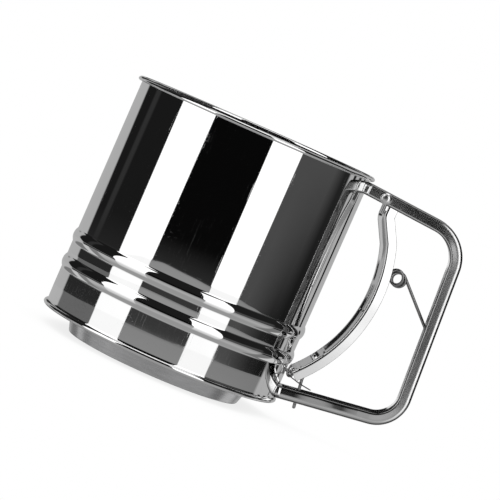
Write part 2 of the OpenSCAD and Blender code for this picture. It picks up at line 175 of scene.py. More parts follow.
def shell(outer, inner, wrap=False, removed=()):
    """Sheet metal between two matching grids of points, with cells left out as holes."""
    rows, columns = len(outer), len(outer[0])
    verts = [point for grid in (outer, inner) for row in grid for point in row]

    def on_outer(i, j):
        return (i % rows) * columns + j

    def on_inner(i, j):
        return rows * columns + on_outer(i, j)

    cells = {(i, j) for i in range(rows if wrap else rows - 1) for j in range(columns - 1)}
    cells -= set(removed)
    faces = []
    for i, j in sorted(cells):
        ring = ((i, j), (i, j + 1), (i + 1, j + 1), (i + 1, j))
        faces.append(tuple(on_outer(*corner) for corner in ring))
        faces.append(tuple(on_inner(*ring[k]) for k in (0, 3, 2, 1)))
        for row_step, column_step, start, end in ((-1, 0, 0, 1), (1, 0, 3, 2),
                                                  (0, -1, 0, 3), (0, 1, 1, 2)):
            neighbour = (i + row_step) % rows if wrap else i + row_step
            if (neighbour, j + column_step) not in cells:
                start, end = ring[start], ring[end]
                faces.append((on_outer(*start), on_outer(*end), on_inner(*end), on_inner(*start)))
    return verts, faces


def tube(points, radii, sides=14):
    """A round-ended wire along points; radii is one number or one for each point."""
    if not isinstance(radii, list):
        radii = [radii] * len(points)
    centres, kept = [], []
    for point, radius in zip(points, radii):
        point = np.array(point, float)
        if not centres or np.linalg.norm(point - centres[-1]) > 1e-3:
            centres.append(point)
            kept.append(radius)
    count = len(centres)
    tangents = [unit(centres[min(i + 1, count - 1)] - centres[max(i - 1, 0)])
                for i in range(count)]
    aim = np.array([0, 0, 1.0]) if abs(tangents[0][2]) < 0.9 else np.array([1.0, 0, 0])
    normals = []
    for tangent in tangents:
        aim = unit(aim - tangent * (aim @ tangent))
        normals.append(aim)

    def dome(i, side, shares):
        return [(centres[i] + side * tangents[i] * kept[i] * 0.8 * math.sqrt(1 - s * s),
                 tangents[i], normals[i], kept[i] * s) for s in shares]

    rings = dome(0, -1, (0.15, 0.5, 0.8))
    rings += list(zip(centres, tangents, normals, kept))
    rings += dome(-1, 1, (0.8, 0.5, 0.15))
    verts, faces = [], []
    for centre, tangent, normal, radius in rings:
        binormal = np.cross(tangent, normal)
        for j in range(sides):
            turn = 2 * math.pi * j / sides
            verts.append(tuple(centre + radius * math.cos(turn) * normal
                               + radius * math.sin(turn) * binormal))
    for i in range(len(rings) - 1):
        here, there = i * sides, (i + 1) * sides
        for j in range(sides):
            k = (j + 1) % sides
            faces.append((here + j, there + j, there + k, here + k))
    faces.append(tuple(range(sides)))
    faces.append(tuple((len(rings) - 1) * sides + j for j in range(sides)))
    return verts, faces


def plate(outline, hole, half, place):
    """A flat plate with one hole, from -half to half; place turns (u, v, w) into the frame."""
    loops = [outline, hole]
    flat = [point for loop in loops for point in loop]
    triangles = tessellate_polygon([[Vector((u, v, 0)) for u, v in loop] for loop in loops])
    count = len(flat)
    verts = [place(u, v, w) for w in (-half, half) for u, v in flat]
    faces = [tuple(corners) for corners in triangles]
    faces += [tuple(count + i for i in reversed(corners)) for corners in triangles]
    base = 0
    for loop in loops:
        for i in range(len(loop)):
            here, there = base + i, base + (i + 1) % len(loop)
            faces.append((here, there, count + there, count + here))
        base += len(loop)
    return verts, faces


def join(*meshes):
    verts, faces = [], []
    for part_verts, part_faces in meshes:
        base = len(verts)
        verts += list(part_verts)
        faces += [tuple(i + base for i in face) for face in part_faces]
    return verts, faces


# ---------------------------------------------------------------- objects
def weight_normals(ob):
    modifier = ob.modifiers.new("normals", "WEIGHTED_NORMAL")
    modifier.mode = "FACE_AREA"
    modifier.weight = 50
    modifier.keep_sharp = True


def bevel_edges(ob, width, segments=2, angle=38):
    modifier = ob.modifiers.new("edge", "BEVEL")
    modifier.width = width * MM
    modifier.segments = segments
    modifier.limit_method = "ANGLE"
    modifier.angle_limit = math.radians(angle)
    return modifier


def piece(name, mesh, body, material, replaces, sharp, bevel=None, segments=2,
          weighted=True):
    """One clean mesh object from millimetre points, riding on a body. Edges sharper than
    sharp degrees stay hard; replaces names the CAD node it stands for, if any."""
    verts, faces = mesh
    data = bpy.data.meshes.new(name)
    data.from_pydata([tuple(float(c) * MM for c in vert) for vert in verts], [],
                     [tuple(int(i) for i in face) for face in faces])
    bm = bmesh.new()
    bm.from_mesh(data)
    bmesh.ops.remove_doubles(bm, verts=bm.verts, dist=2e-6)
    bmesh.ops.dissolve_degenerate(bm, dist=1e-7, edges=bm.edges)
    bmesh.ops.recalc_face_normals(bm, faces=bm.faces)
    bm.to_mesh(data)
    bm.free()
    data.polygons.foreach_set("use_smooth", [True] * len(data.polygons))
    data.set_sharp_from_angle(angle=math.radians(sharp))
    data.materials.append(material)
    ob = bpy.data.objects.new(name, data)
    scene.collection.objects.link(ob)
    if bevel:
        bevel_edges(ob, bevel, segments, sharp).miter_outer = "MITER_ARC"
    if weighted:
        weight_normals(ob)
    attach(ob, body)
    if replaces:
        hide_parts(replaces)


def finish_cad_node(node, material, bevel):
    """A carried-over CAD node: its own shape, with softened edges and a real finish."""
    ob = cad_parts[node]
    ob.data.materials.clear()
    ob.data.materials.append(material)
    for slot in ob.material_slots:
        slot.material = material
    weld = ob.modifiers.new("weld", "WELD")
    weld.merge_threshold = 2e-6
    flatten = ob.modifiers.new("flat", "DECIMATE")
    flatten.decimate_type = "DISSOLVE"
    flatten.angle_limit = math.radians(1.0)
    bevel_edges(ob, bevel)
    weight_normals(ob)


# ---------------------------------------------------------------- shader arithmetic
class Signal:
    """A node's output that takes arithmetic; each operator adds one Math node."""

    def __init__(self, node, output=0):
        self.socket = node.outputs[output]

    def __add__(self, other):
        return maths("ADD", self, other)

    def __radd__(self, other):
        return maths("ADD", other, self)

    def __sub__(self, other):
        return maths("SUBTRACT", self, other)

    def __rsub__(self, other):
        return maths("SUBTRACT", other, self)

    def __mul__(self, other):
        return maths("MULTIPLY", self, other)

    def __truediv__(self, other):
        return maths("DIVIDE", self, other)


def tree_of(*values):
    return next(v.socket.id_data for v in values if isinstance(v, Signal))


def feed(value, target):
    """Link a signal to an input, or set the input to a plain value."""
    if isinstance(value, Signal):
        target.id_data.links.new(value.socket, target)
    else:
        target.default_value = value


def add(tree, kind, inputs=None):
    """A shader node, with its inputs fed by name or number."""
    node = tree.nodes.new("ShaderNode" + kind)
    for key, value in (inputs or {}).items():
        feed(value, node.inputs[key])
    return node


def maths(operation, *values):
    node = add(tree_of(*values), "Math", dict(enumerate(values)))
    node.operation = operation
    return Signal(node)


def clamped(signal):
    """Limit the Math node behind a signal to 0..1."""
    signal.socket.node.use_clamp = True
    return signal


def mix(low, high, share):
    """Plain number mix: low where share is 0, high where it is 1."""
    node = add(tree_of(low, high, share), "Mix")
    node.data_type = "FLOAT"
    for index, value in ((0, share), (2, low), (3, high)):
        feed(value, node.inputs[index])
    return Signal(node)


def step(signal, at, width):
    """0 below at, 1 above it, soft over width."""
    return clamped((signal - at) / width + 0.5)


def window(signal, start, end, soft, end_soft=None):
    """1 between start and end, 0 outside, with soft limits."""
    return step(signal, start, soft) * (1.0 - step(signal, end, end_soft or soft))


def components(vector):
    node = add(tree_of(vector), "SeparateXYZ", {0: vector})
    return [Signal(node, i) for i in range(3)]


def colour(red, green, blue):
    return Signal(add(tree_of(red), "CombineColor", {0: red, 1: green, 2: blue}))


def noise(coord, scale, detail=3.0, rough=0.5, stretch=(1, 1, 1), turn=(0, 0, 0),
          offset=(0, 0, 0)):
    tree = tree_of(coord)
    mapping = add(tree, "Mapping", {"Scale": stretch, "Rotation": turn, "Location": offset,
                                    "Vector": coord})
    texture = add(tree, "TexNoise", {"Scale": scale, "Detail": detail, "Roughness": rough,
                                     "Vector": Signal(mapping)})
    return Signal(texture, "Fac")


def fresh_tree(owner):
    owner.use_nodes = True
    owner.node_tree.nodes.clear()
    return owner.node_tree


# ---------------------------------------------------------------- steel
def hairlines(coord, scale, stretch, turn, cut, offset):
    """Straight fine scratches: the peaks of a strongly stretched noise, in patches."""
    peaks = noise(coord, scale, detail=1.0, rough=0.4, stretch=stretch, turn=turn, offset=offset)
    lines = clamped((peaks - cut) * 22.0)
    patches = noise(coord, 55.0, detail=1.0, rough=0.5, offset=offset)
    return lines * clamped((patches - 0.47) * 6.0)


def dark_specks(tree, coord, amount):
    """Small round spots, kept only where a broader noise is high."""
    cells = add(tree, "TexVoronoi", {"Scale": 330.0, "Randomness": 1.0, "Vector": coord})
    spots = clamped(1.0 - Signal(cells, "Distance") / 0.055)
    patches = noise(coord, 95.0, detail=2.0, rough=0.6, offset=(0.5, 0.2, 0.8))
    return clamped(spots * clamped((patches - 0.56) * 12.0) * amount)


def steel(name, tone, rough, cloud, grain, tarnish, scratch, specks, lines=(1, 1, 0.04),
          line_scale=2600.0, tint=(1.0, 1.0, 1.0), wave=0.0, edge=0.0):
    """Polished or drawn steel.

    tone, tint       brightness and colour
    rough, cloud     roughness, and how far smears vary it
    grain            strength of the drawn grain; lines and line_scale are its stretch and scale
    tarnish          depth of the slow dark patches
    scratch, specks  strength of the hairlines and the dark specks
    wave             height of the slow waves in the sheet
    edge             painted shade: how much darker the faces are that don't look along Y
    """
    material = bpy.data.materials.new(name)
    tree = fresh_tree(material)
    output = add(tree, "OutputMaterial")
    surface = add(tree, "BsdfPrincipled", {"Metallic": 1.0})
    feed(Signal(surface), output.inputs[0])
    coord = Signal(add(tree, "TexCoord"), "Object")

    fine = noise(coord, line_scale, detail=4.0, rough=0.6, stretch=lines)
    broad = noise(coord, 48.0, detail=4.0, rough=0.55)
    smear = noise(coord, 150.0, rough=0.6, stretch=(1, 1, 0.35), offset=(0.31, 0.17, 0.05))
    upright = hairlines(coord, scale=3200.0, stretch=(1, 1, 0.022), turn=(0.05, 0.03, 0.0),
                        cut=0.66, offset=(0.2, 0.4, 0.1))
    slanted = hairlines(coord, scale=2600.0, stretch=(1, 1, 0.03), turn=(0.62, 0.41, 0.3),
                        cut=0.68, offset=(0.7, 0.1, 0.3))
    across = hairlines(coord, scale=2800.0, stretch=(0.03, 1.0, 1.0), turn=(0.2, -0.5, 0.9),
                       cut=0.68, offset=(0.3, 0.9, 0.6))
    scratches = maths("MAXIMUM", upright, maths("MAXIMUM", slanted, across))
    scratches = clamped(scratches * scratch)
    spots = dark_specks(tree, coord, specks)

    # colour: slow tarnish, dark specks and grain
    shade = 1.0 - clamped(broad - 0.42) * (tarnish * 2)
    shade = shade - spots * 0.55
    shade = shade + (fine - 0.5) * (grain * 1.2)
    shade = shade * tone
    # painted shade: faces that don't look along Y get a darker colour, which gives the handle dark
    # edges
    if edge:
        normal_y = components(Signal(add(tree, "TexCoord"), "Normal"))[1]
        flat = step(maths("ABSOLUTE", normal_y), at=0.90, width=0.06)
        turned = 1.0 - flat
        shade = shade * (1.0 - turned * edge)
    feed(colour(*(shade * part for part in tint)), surface.inputs["Base Color"])

    # roughness: smears, hairlines and specks scatter more
    roughness = rough + (smear - 0.45) * cloud
    roughness = roughness + (broad - 0.5) * cloud
    roughness = roughness + scratches * 0.18
    roughness = roughness + spots * 0.35
    if edge:
        # smoother below a height of 24 mm, and on the turned faces
        high = step(components(coord)[2], at=0.024, width=0.010)
        roughness = roughness * (high * 0.62 + 0.38)
        roughness = roughness * flat + turned * 0.07
    feed(maths("MAXIMUM", roughness, 0.02), surface.inputs["Roughness"])

    # relief: grain, scratches and specks a few microns deep
    height = fine * (grain * 0.06)
    height = height - scratches * 0.18
    height = height - spots * 0.35
    if wave:
        slow = noise(coord, 26.0, detail=1.5, rough=0.4, stretch=(1, 1, 0.6),
                     offset=(0.13, 0.77, 0.4))
        height = height + slow * wave
    bump = add(tree, "Bump", {"Strength": 1.0, "Distance": 0.00002, "Height": height})
    feed(Signal(bump), surface.inputs["Normal"])
    return material


EVEN = (1, 1, 1)   # grain with no direction
CUP = steel("cup_polished_steel", tone=0.90, rough=0.022, cloud=0.012, grain=0.012,
            scratch=0.35, specks=0.5, wave=0.7, tarnish=0.05)
# the handle's faces that don't look along Y are darkened with painted shade (edge)
HANDLE = steel("handle_polished_steel", tone=0.86, rough=0.21, cloud=0.14, grain=0.10,
               lines=EVEN, line_scale=700.0, scratch=0.4, specks=0.2, wave=2.4, tarnish=0.22,
               edge=0.75)
TRIGGER = steel("trigger_polished_steel", tone=0.88, rough=0.06, cloud=0.04, grain=0.02,
                scratch=0.5, specks=0.3, wave=0.8, tarnish=0.12)
RING = steel("base_ring_satin_steel", tone=0.68, tint=(1.0, 1.0, 1.01), rough=0.22, cloud=0.08,
             grain=0.35, lines=(0.12, 0.12, 1), line_scale=1500.0, scratch=0.4, specks=0.35,
             tarnish=0.15)
INNER = steel("agitator_satin_steel", tone=0.78, rough=0.16, cloud=0.10, grain=0.25,
              lines=(1, 0.2, 1), line_scale=1400.0, scratch=0.7, specks=0.5, tarnish=0.2)
SCREEN = steel("screen_wire_steel", tone=0.66, rough=0.26, cloud=0.10, grain=0.2,
               lines=EVEN, line_scale=1800.0, scratch=0.2, specks=0.2, tarnish=0.25)
FASTENER = steel("fastener_steel", tone=0.74, tint=(1.0, 0.99, 0.97), rough=0.14, cloud=0.08,
                 grain=0.3, lines=EVEN, line_scale=1600.0, scratch=0.6, specks=0.5, tarnish=0.2)
RIVET = steel("rivet_steel", tone=0.90, rough=0.26, cloud=0.08, grain=0.2,
              lines=EVEN, line_scale=1500.0, scratch=0.5, specks=0.3, tarnish=0.15)
WIRE = steel("spring_wire_steel", tone=0.36, rough=0.05, cloud=0.03, grain=0.06,
             lines=EVEN, line_scale=1500.0, scratch=0.4, specks=0.3, tarnish=0.25)
LINK = steel("link_wire_steel", tone=0.55, rough=0.06, cloud=0.03, grain=0.06,
             lines=EVEN, line_scale=1500.0, scratch=0.4, specks=0.3, tarnish=0.2)

# ---------------------------------------------------------------- cup
FOOT_Z, FOOT_RADIUS = 7.6, 1.05
FOOT_STEPS = 16
RIDGES = (25.8, 36.9)                # heights of the two rolled ridges
RIDGE_OUT, RIDGE_HALF = 0.85, 3.0    # how far a ridge stands out, and half its height
RIM_Z, RIM_BASE_Z = 104.95, 103.95
RIM_WIDE, RIM_HIGH = 1.175, 0.95     # half axes of the curled rim
RIM_STEPS = 40
RIM_LAY = math.radians(10)           # the curl is rolled flat on its upper outer side
CUP_COLUMNS = 288

# edges and corner steps of the slot in the +X wall that the drive link passes through
SLOT_Z = (19.2, 19.6, 22.25, 22.58)
SLOT_Y = (2.25, 2.65, 4.2, 4.6)

# the wall is drawn in just above each ridge: (azimuth, height of the drawn-in part),
# azimuth 0 facing -Y and 90 facing the handle
NECKS = (
    ((-180, 1.6), (-62, 1.6), (-40, 1.8), (-13, 2.7), (12, 2.4), (26, 2.2), (42, 1.3), (60, 0.6),
     (180, 1.6)),
    ((-180, 0.8), (-60, 0.2), (-34, 0.2), (-22, 2.4), (-13, 3.7), (0, 3.2), (12, 2.5), (24, 2.4),
     (32, 1.4), (40, 0.4), (70, 0.2), (180, 0.8)),
)
NECK_EXTRA = 0.3
NECK_SLOPE, NECK_ROUND, NECK_FADE = 0.031, 0.8, 1.4


def ridge(middle, inset):
    """(radius, z) up a rolled ridge with root fillets; inset moves it in by the sheet."""
    whole = (RIDGE_HALF ** 2 + RIDGE_OUT ** 2) / (2 * RIDGE_OUT)
    crown = whole * 0.84
    root = whole - crown + inset
    angle = math.acos((whole - RIDGE_OUT) / whole)

    def root_point(share, side):
        return (WALL - inset + root * (1 - math.cos(angle * share)),
                middle + side * (RIDGE_HALF - root * math.sin(angle * share)))

    points = [root_point(k / 5, -1) for k in range(6)]
    for k in range(1, 20):
        turn = -angle + 2 * angle * k / 20
        points.append((WALL + RIDGE_OUT - crown + (crown - inset) * math.cos(turn),
                       middle + (crown - inset) * math.sin(turn)))
    return points + [root_point(1 - k / 5, 1) for k in range(6)]


def draw_in(z, degrees):
    """How far the wall is moved at a height and an angle from +X; it is never positive."""
    azimuth = (degrees + 90.0 + 180.0) % 360.0 - 180.0
    move = 0.0
    for middle, table in zip(RIDGES, NECKS):
        root = middle + RIDGE_HALF
        for (start, low), (end, high) in zip(table, table[1:]):
            if start <= azimuth <= end:
                share = (azimuth - start) / (end - start)
                height = low + (high - low) * smoothstep(share) + NECK_EXTRA
                break
        left = height - max(z - root, 0.0)
        if left <= 0 or z < root - NECK_FADE:
            continue
        amount = left * left / (2 * NECK_ROUND) if left < NECK_ROUND else left - NECK_ROUND / 2
        move -= NECK_SLOPE * amount * min(1.0, (z - root + NECK_FADE) / NECK_FADE)
    # below a slightly wavy line the wall leans in over the foot
    lean_top = (15.8 + 0.25 * math.sin(math.radians(2.3 * azimuth + 40))
                + 0.12 * math.sin(math.radians(7 * azimuth)))
    if z < lean_top:
        move -= 0.012 * (lean_top - max(z, 8.9)) * min(1.0, max(0.0, (z - 7.4) / 1.5))
    return move


def cup_lines():
    """The outer and inner (radius, z) lines of the wall, from the foot to the rim."""
    inside = WALL - SHEET
    # foot bead
    outer = [(WALL - 0.35, FOOT_Z - FOOT_RADIUS)]
    for k in range(1, FOOT_STEPS):
        turn = math.radians(-90 + 190 * k / FOOT_STEPS)
        outer.append((WALL + 0.05 + FOOT_RADIUS * math.cos(turn),
                      FOOT_Z + FOOT_RADIUS * math.sin(turn)))
    outer.append((WALL + 0.02, FOOT_Z + FOOT_RADIUS + 0.01))
    inner = [(inside, FOOT_Z - FOOT_RADIUS + 0.12 + (2 * FOOT_RADIUS - 0.1) * k / FOOT_STEPS)
             for k in range(FOOT_STEPS + 1)]

    def plain(heights):
        outer.extend((WALL, z) for z in heights)
        inner.extend((inside, z) for z in heights)

    def rolled(middle):
        outer.extend(ridge(middle, 0))
        inner.extend(ridge(middle, SHEET))

    plain([8.95, 9.4, 12, 14.6, 15.2, 15.6, 16.0, 16.4, 17.2, 18.6, *SLOT_Z])
    rolled(RIDGES[0])
    plain([29.05] + evenly(29.3, 32.6, 11) + [33.2, 33.6])
    rolled(RIDGES[1])
    plain([40.1] + evenly(40.4, 44.4, 12) + evenly(46, 102, 12) + [103.3, 103.9])
    # curled rim
    centre = inside + RIM_WIDE
    start = 180 + math.degrees(math.acos((centre - WALL) / RIM_WIDE))
    for k in range(RIM_STEPS + 1):
        turn = math.radians(start + (538 - start) * k / RIM_STEPS)
        outer.append((centre + RIM_WIDE * math.cos(turn),
                      RIM_Z + RIM_HIGH * math.sin(turn - RIM_LAY)))
    inner += [(inside, z) for z in evenly(RIM_BASE_Z, RIM_Z - 0.03, RIM_STEPS)]
    return outer, inner


def build_cup():
    lines = cup_lines()
    slot_angles = [math.degrees(math.asin(y / WALL)) for y in SLOT_Y]
    angles = [360.0 * i / CUP_COLUMNS for i in range(CUP_COLUMNS)]
    angles = [a for a in angles if all(abs(a - edge) > 0.35 for edge in slot_angles)]
    angles = sorted(angles + slot_angles)
    grids = []
    for line in lines:
        grid = []
        for degrees in angles:
            cosine, sine = math.cos(math.radians(degrees)), math.sin(math.radians(degrees))
            moved = [(radius + draw_in(z, degrees), z) for radius, z in line]
            grid.append([(radius * cosine, radius * sine, z) for radius, z in moved])
        grids.append(grid)
    # the slot's cells, less its four corner cells
    columns = [angles.index(a) for a in slot_angles]
    rows = [k for k, (radius, z) in enumerate(lines[0])
            if abs(radius - WALL) < 1e-9 and any(abs(z - edge) < 1e-9 for edge in SLOT_Z)]
    removed = [(i, j) for i in range(columns[0], columns[3]) for j in range(rows[0], rows[3])
               if i not in (columns[0], columns[3] - 1) or j not in (rows[0], rows[3] - 1)]
    piece("cup_body_shell", shell(*grids, wrap=True, removed=removed), "frame", CUP,
          "cup_body", sharp=42)


# ---------------------------------------------------------------- base ring, retainer, screen
SEAT = WALL - SHEET - 0.05   # radius where the base ring meets the cup

# turned profiles: (radius, z, fillet radius)
BASE_RING = (
    (SEAT, 7.2, 0.1), (40.1, 7.2, 0.9), (39.1, 6.55, 0.9), (37.05, 0.3, 0.35),
    (36.85, 0.0, 0.2), (36.15, 0.0, 0.2), (36.1, 0.6, 0.2), (36.5, 0.8, 0.2),
    (38.45, 6.9, 0.6), (38.95, 7.8, 0.5), (SEAT, 7.8, 0.15),
)
RETAINER = (
    (39.6, 8.42, 0.12), (43.02, 8.42, 0.1), (43.07, 7.83, 0.1), (44.98, 7.83, 0.1),
    (44.98, 8.7, 0.25), (44.6, 9.0, 0.25), (39.9, 9.0, 0.25), (39.6, 8.8, 0.15),
)

SCREEN_PITCH = 1.45
SCREEN_WIRE = 0.14     # wire radius
SCREEN_WEAVE = 0.145   # how far a wire swings up and down
SCREEN_Z = 8.1
SCREEN_RADIUS = 42.9
SCREEN_HOLE = 2.15     # radius of the hole round the stud
SCREEN_SIDES = 6


def build_rings():
    piece("base_ring_turned", lathe(fillet(BASE_RING), 256), "frame", RING,
          "base_ring", sharp=60)
    piece("screen_retainer_turned", lathe(fillet(RETAINER, steps=3), 224), "frame", RING,
          "screen_retainer_ring", sharp=60)


def build_screen():
    verts, faces = [], []
    half_pitch = SCREEN_PITCH / 2
    sides = SCREEN_SIDES
    section = [(math.cos(2 * math.pi * (j + 0.5) / sides), math.sin(2 * math.pi * (j + 0.5) / sides))
               for j in range(sides)]

    def add_span(axis, offset, swing, start, end):
        """One straight run of woven wire, along X for axis 0 and along Y for axis 1."""
        first = math.ceil(start / half_pitch + 0.05)
        last = math.floor(end / half_pitch - 0.05)
        stations = [start] + [q * SCREEN_PITCH / 2 for q in range(first, last + 1)] + [end]
        base = len(verts)
        for along in stations:
            z = SCREEN_Z + swing * math.sin(math.pi * along / SCREEN_PITCH)
            for across, up in section:
                side = offset + SCREEN_WIRE * across
                height = z + SCREEN_WIRE * up
                verts.append((side, along, height) if axis else (along, side, height))
        end_base = base + (len(stations) - 1) * sides
        for here in range(base, end_base, sides):
            for j in range(sides):
                k = (j + 1) % sides
                faces.append((here + j, here + k, here + sides + k, here + sides + j))
        faces.append(tuple(base + j for j in range(sides)))
        faces.append(tuple(end_base + j for j in range(sides)))

    count = int(SCREEN_RADIUS / SCREEN_PITCH) + 1
    for axis in (0, 1):
        for k in range(-count, count):
            offset = (k + 0.5) * SCREEN_PITCH
            if abs(offset) > SCREEN_RADIUS - 0.3:
                continue
            reach = math.sqrt(SCREEN_RADIUS ** 2 - offset ** 2)
            spans = [(-reach, reach)]
            if abs(offset) < SCREEN_HOLE:
                gap = math.sqrt(SCREEN_HOLE ** 2 - offset ** 2)
                spans = [(-reach, -gap), (gap, reach)]
            swing = SCREEN_WEAVE * (-1 if (axis + k) % 2 else 1)
            for start, end in spans:
                add_span(axis, offset, swing, start, end)
    piece("mesh_screen_woven", (verts, faces), "frame", SCREEN, "mesh_screen",
          sharp=80, weighted=False)


# ---------------------------------------------------------------- agitator stack
# turned profiles: (radius, z, fillet radius)
STUD = (
    (0, 5.0, 0), (3.3, 5.0, 0.4), (4.0, 5.7, 0.4), (4.0, 6.48, 0.08),
    (2.0, 6.48, 0.05), (2.0, 21.35, 0.15), (1.55, 21.8, 0.15), (0, 21.8, 0),
)
HUB = (
    (2.06, 9.25, 0.15), (6.1, 9.25, 0.2), (6.5, 9.65, 0.2), (6.5, 12.18, 0.15),
    (5.5, 12.18, 0.05), (5.5, 16.58, 0.1), (4.5, 16.58, 0.05), (4.5, 18.0, 0.2),
    (2.06, 18.0, 0.15),
)
# name, CAD node, outer radius, underside
WASHERS = (("bearing_washer_turned", "bearing_washer", 6.5, 8.4),
           ("top_washer_turned", "top_washer", 5.2, 18.05))

NUT_Z = 18.85
NUT_FLAT = 4.6 * math.cos(math.pi / 6)   # from the nut's axis to a flat
NUT_BORE = 2.02
# (radius, height over the nut's underside); 9 is beyond the hexagon, which trims it
NUT_BODY = (
    (NUT_BORE, 0.0), (4.05, 0.0), (4.25, 0.12), (4.75, 0.45), (9, 0.5), (9, 2.3), (4.75, 2.35),
    (4.2, 2.68), (3.95, 2.8), (3.62, 2.86), (3.50, 3.0),
)


def rectangle(left, bottom, right, top):
    return [(left, bottom), (right, bottom), (right, top), (left, top)]


def build_stud_and_washers():
    piece("pivot_stud_turned", lathe(fillet(STUD), 64, closed=False), "frame", FASTENER,
          "pivot_stud", sharp=50)
    for name, node, radius, z in WASHERS:
        outline = fillet(rectangle(2.05, z, radius, z + 0.8), steps=3, radius=0.18)
        piece(name, lathe(outline, 72), "frame", FASTENER, node, sharp=60)


def build_cap_nut():
    sixth = math.pi / 6
    profile = list(NUT_BODY)
    for k in range(1, 13):
        turn = math.radians(6.5 + (90 - 6.5) * k / 12)
        profile.append((3.55 * math.cos(turn) if k < 12 else 0.0, 2.6 + 3.55 * math.sin(turn)))
    profile = [(radius, NUT_Z + height) for radius, height in profile]

    def hexagon(turn):
        return NUT_FLAT / math.cos((turn + sixth) % (math.pi / 3) - sixth)

    body = lathe(profile, 96, closed=False, limit=hexagon, start=sixth)
    bore = [(NUT_BORE, NUT_Z), (NUT_BORE, NUT_Z + 3.1), (0.0, NUT_Z + 3.15)]
    bore_verts, bore_faces = lathe(bore, 96, closed=False, start=sixth)
    bore_faces = [(a, d, c, b) for a, b, c, d in bore_faces]
    piece("cap_nut_domed", join(body, (bore_verts, bore_faces)), "frame", FASTENER,
          "cap_nut", sharp=28)


def build_hub():
    piece("agitator_hub_turned", lathe(fillet(HUB, steps=3), 72), "agitator", INNER,
          "agitator_hub", sharp=50)


BLADE_Z = 12.6
BLADE_WEB = (2.38, 2.0, 1.0, 0.0, -0.9)   # y across an arm's flat web
BLADE_HALF = 0.385                        # half the blade's thickness
BLADE_REACH = 38.95
# distances from the axis along an arm; None is the end, cut to a circle of BLADE_REACH
BLADE_STATIONS = (8.3, 9.4, 10.8, 11.2, 12.5, 16, 20, 24, 28, 32, 35, 37.4, None)


def blade_section():
    """The middle line (y, z) of an arm: flat web, round bend, slanted skirt; and its normals."""
    line = [(y, BLADE_Z) for y in BLADE_WEB]
    centre_y, centre_z, radius = -1.35, 11.5, 1.1
    for k in range(1, 7):
        turn = math.radians(90) + math.radians(50) * k / 6
        line.append((centre_y + radius * math.cos(turn), centre_z + radius * math.sin(turn)))
    last_y, last_z = line[-1]
    slant = unit((-2.45, -3.35))
    length = (last_z - 9.0) / -slant[1]
    for k in range(1, 5):
        line.append((last_y + slant[0] * length * k / 4, last_z + slant[1] * length * k / 4))
    normals = []
    for k in range(len(line)):
        tangent = unit(np.array(line[min(k + 1, len(line) - 1)]) - np.array(line[max(k - 1, 0)]))
        normals.append((tangent[1], -tangent[0]))
    return list(zip(line, normals))


def build_blades():
    disc = fillet(rectangle(5.54, 12.2, 9.6, 13.0), steps=2, radius=0.14)
    parts = [lathe(disc, 96)]
    section = blade_section()
    # the skirt starts only beyond the third station
    removed = [(i, j) for i in range(3) for j in range(len(BLADE_WEB) - 1, len(section) - 1)]
    for arm in range(4):
        angle = CRANK_ANGLE + math.pi / 4 + arm * math.pi / 2
        cosine, sine = math.cos(angle), math.sin(angle)
        grids = []
        for side in (BLADE_HALF, -BLADE_HALF):
            grid = []
            for station in BLADE_STATIONS:
                row = []
                for (y, z), (normal_y, normal_z) in section:
                    along = station
                    if station is None:
                        clip = 0.9 if y > 1.9 or z < 9.2 else 0
                        along = math.sqrt(BLADE_REACH ** 2 - y * y) - clip
                    across = y + side * normal_y
                    row.append((along * cosine - across * sine,
                                along * sine + across * cosine, z + side * normal_z))
                grid.append(row)
            grids.append(grid)
        parts.append(shell(*grids, removed=removed))
    piece("agitator_blades_stamped", join(*parts), "agitator", INNER, "agitator_blades",
          sharp=40, bevel=0.12)


# ---------------------------------------------------------------- drive link, its nut and clip
LINK_Y, LINK_Z = 3.4, 20.6
LINK_CORNERS = (
    (EYE[0], -LINK_Y, EYE[1]), (EYE[0], LINK_Y, EYE[1]), (EYE[0] - 3.2, LINK_Y, LINK_Z),
    (26, LINK_Y, LINK_Z), (*HOOK, LINK_Z), (*HOOK, 14.25),
)
# for each inner corner: reach of its curve, steps round it, parts of the straight before it
LINK_BENDS = ((1.2, 10, 6), (0.9, 6, 1), (5, 10, 10), (1.6, 10, 16))

PUSH_NUT_Z = 14.6
# (radius, height)
PUSH_NUT = (
    (0.74, 0.0), (1.6, 0.02), (2.15, 0.0), (2.3, 0.1), (2.3, 0.3), (2.2, 0.4), (1.8, 0.42),
    (1.55, 0.6), (1.25, 0.74), (1.0, 0.7), (0.74, 0.62),
)


def build_link():
    path = [LINK_CORNERS[0]]
    for i, (reach, steps, parts) in enumerate(LINK_BENDS, 1):
        curve = ease_corner(*LINK_CORNERS[i - 1:i + 2], reach, steps)
        path += between(path[-1], curve[0], parts) + curve
    path += between(path[-1], LINK_CORNERS[-1], 5) + [LINK_CORNERS[-1]]
    piece("drive_link_wire", tube(path, 0.7, sides=16), "link", LINK, "drive_link",
          sharp=60)


def build_push_nut():
    def lobed(x, y, z):
        """Move to the hook; the flange beyond 1.9 mm is drawn out into three lobes."""
        grow = 1 + 0.05 * math.cos(3 * math.atan2(y, x)) if math.hypot(x, y) > 1.9 else 1
        return x * grow + HOOK[0], y * grow + HOOK[1], z

    profile = [(radius, PUSH_NUT_Z + height) for radius, height in PUSH_NUT]
    piece("link_push_nut_pressed", lathe(profile, 48, place=lobed), "link", FASTENER,
          "link_push_nut", sharp=60)


def build_clip():
    """A loop round the link at the eye, with a long bowed tail towards +X."""
    path = []
    for k in range(40, -1, -1):
        turn = math.radians(295 - 395 * k / 40)
        path.append((EYE[0] + 0.99 * math.cos(turn), -3.05 + 0.32 * k / 40,
                     EYE[1] + 0.99 * math.sin(turn)))
    for k in range(1, 15):
        share = k / 14
        path.append((EYE[0] + 0.42 + 9.83 * share, -3.02 + 0.25 * share,
                     EYE[1] - 0.90 - 1.86 * share - 0.25 * math.sin(math.pi * share)))
    piece("link_clip_wire", tube(path, 0.25, sides=10), "link", WIRE, "link_clip",
          sharp=60)


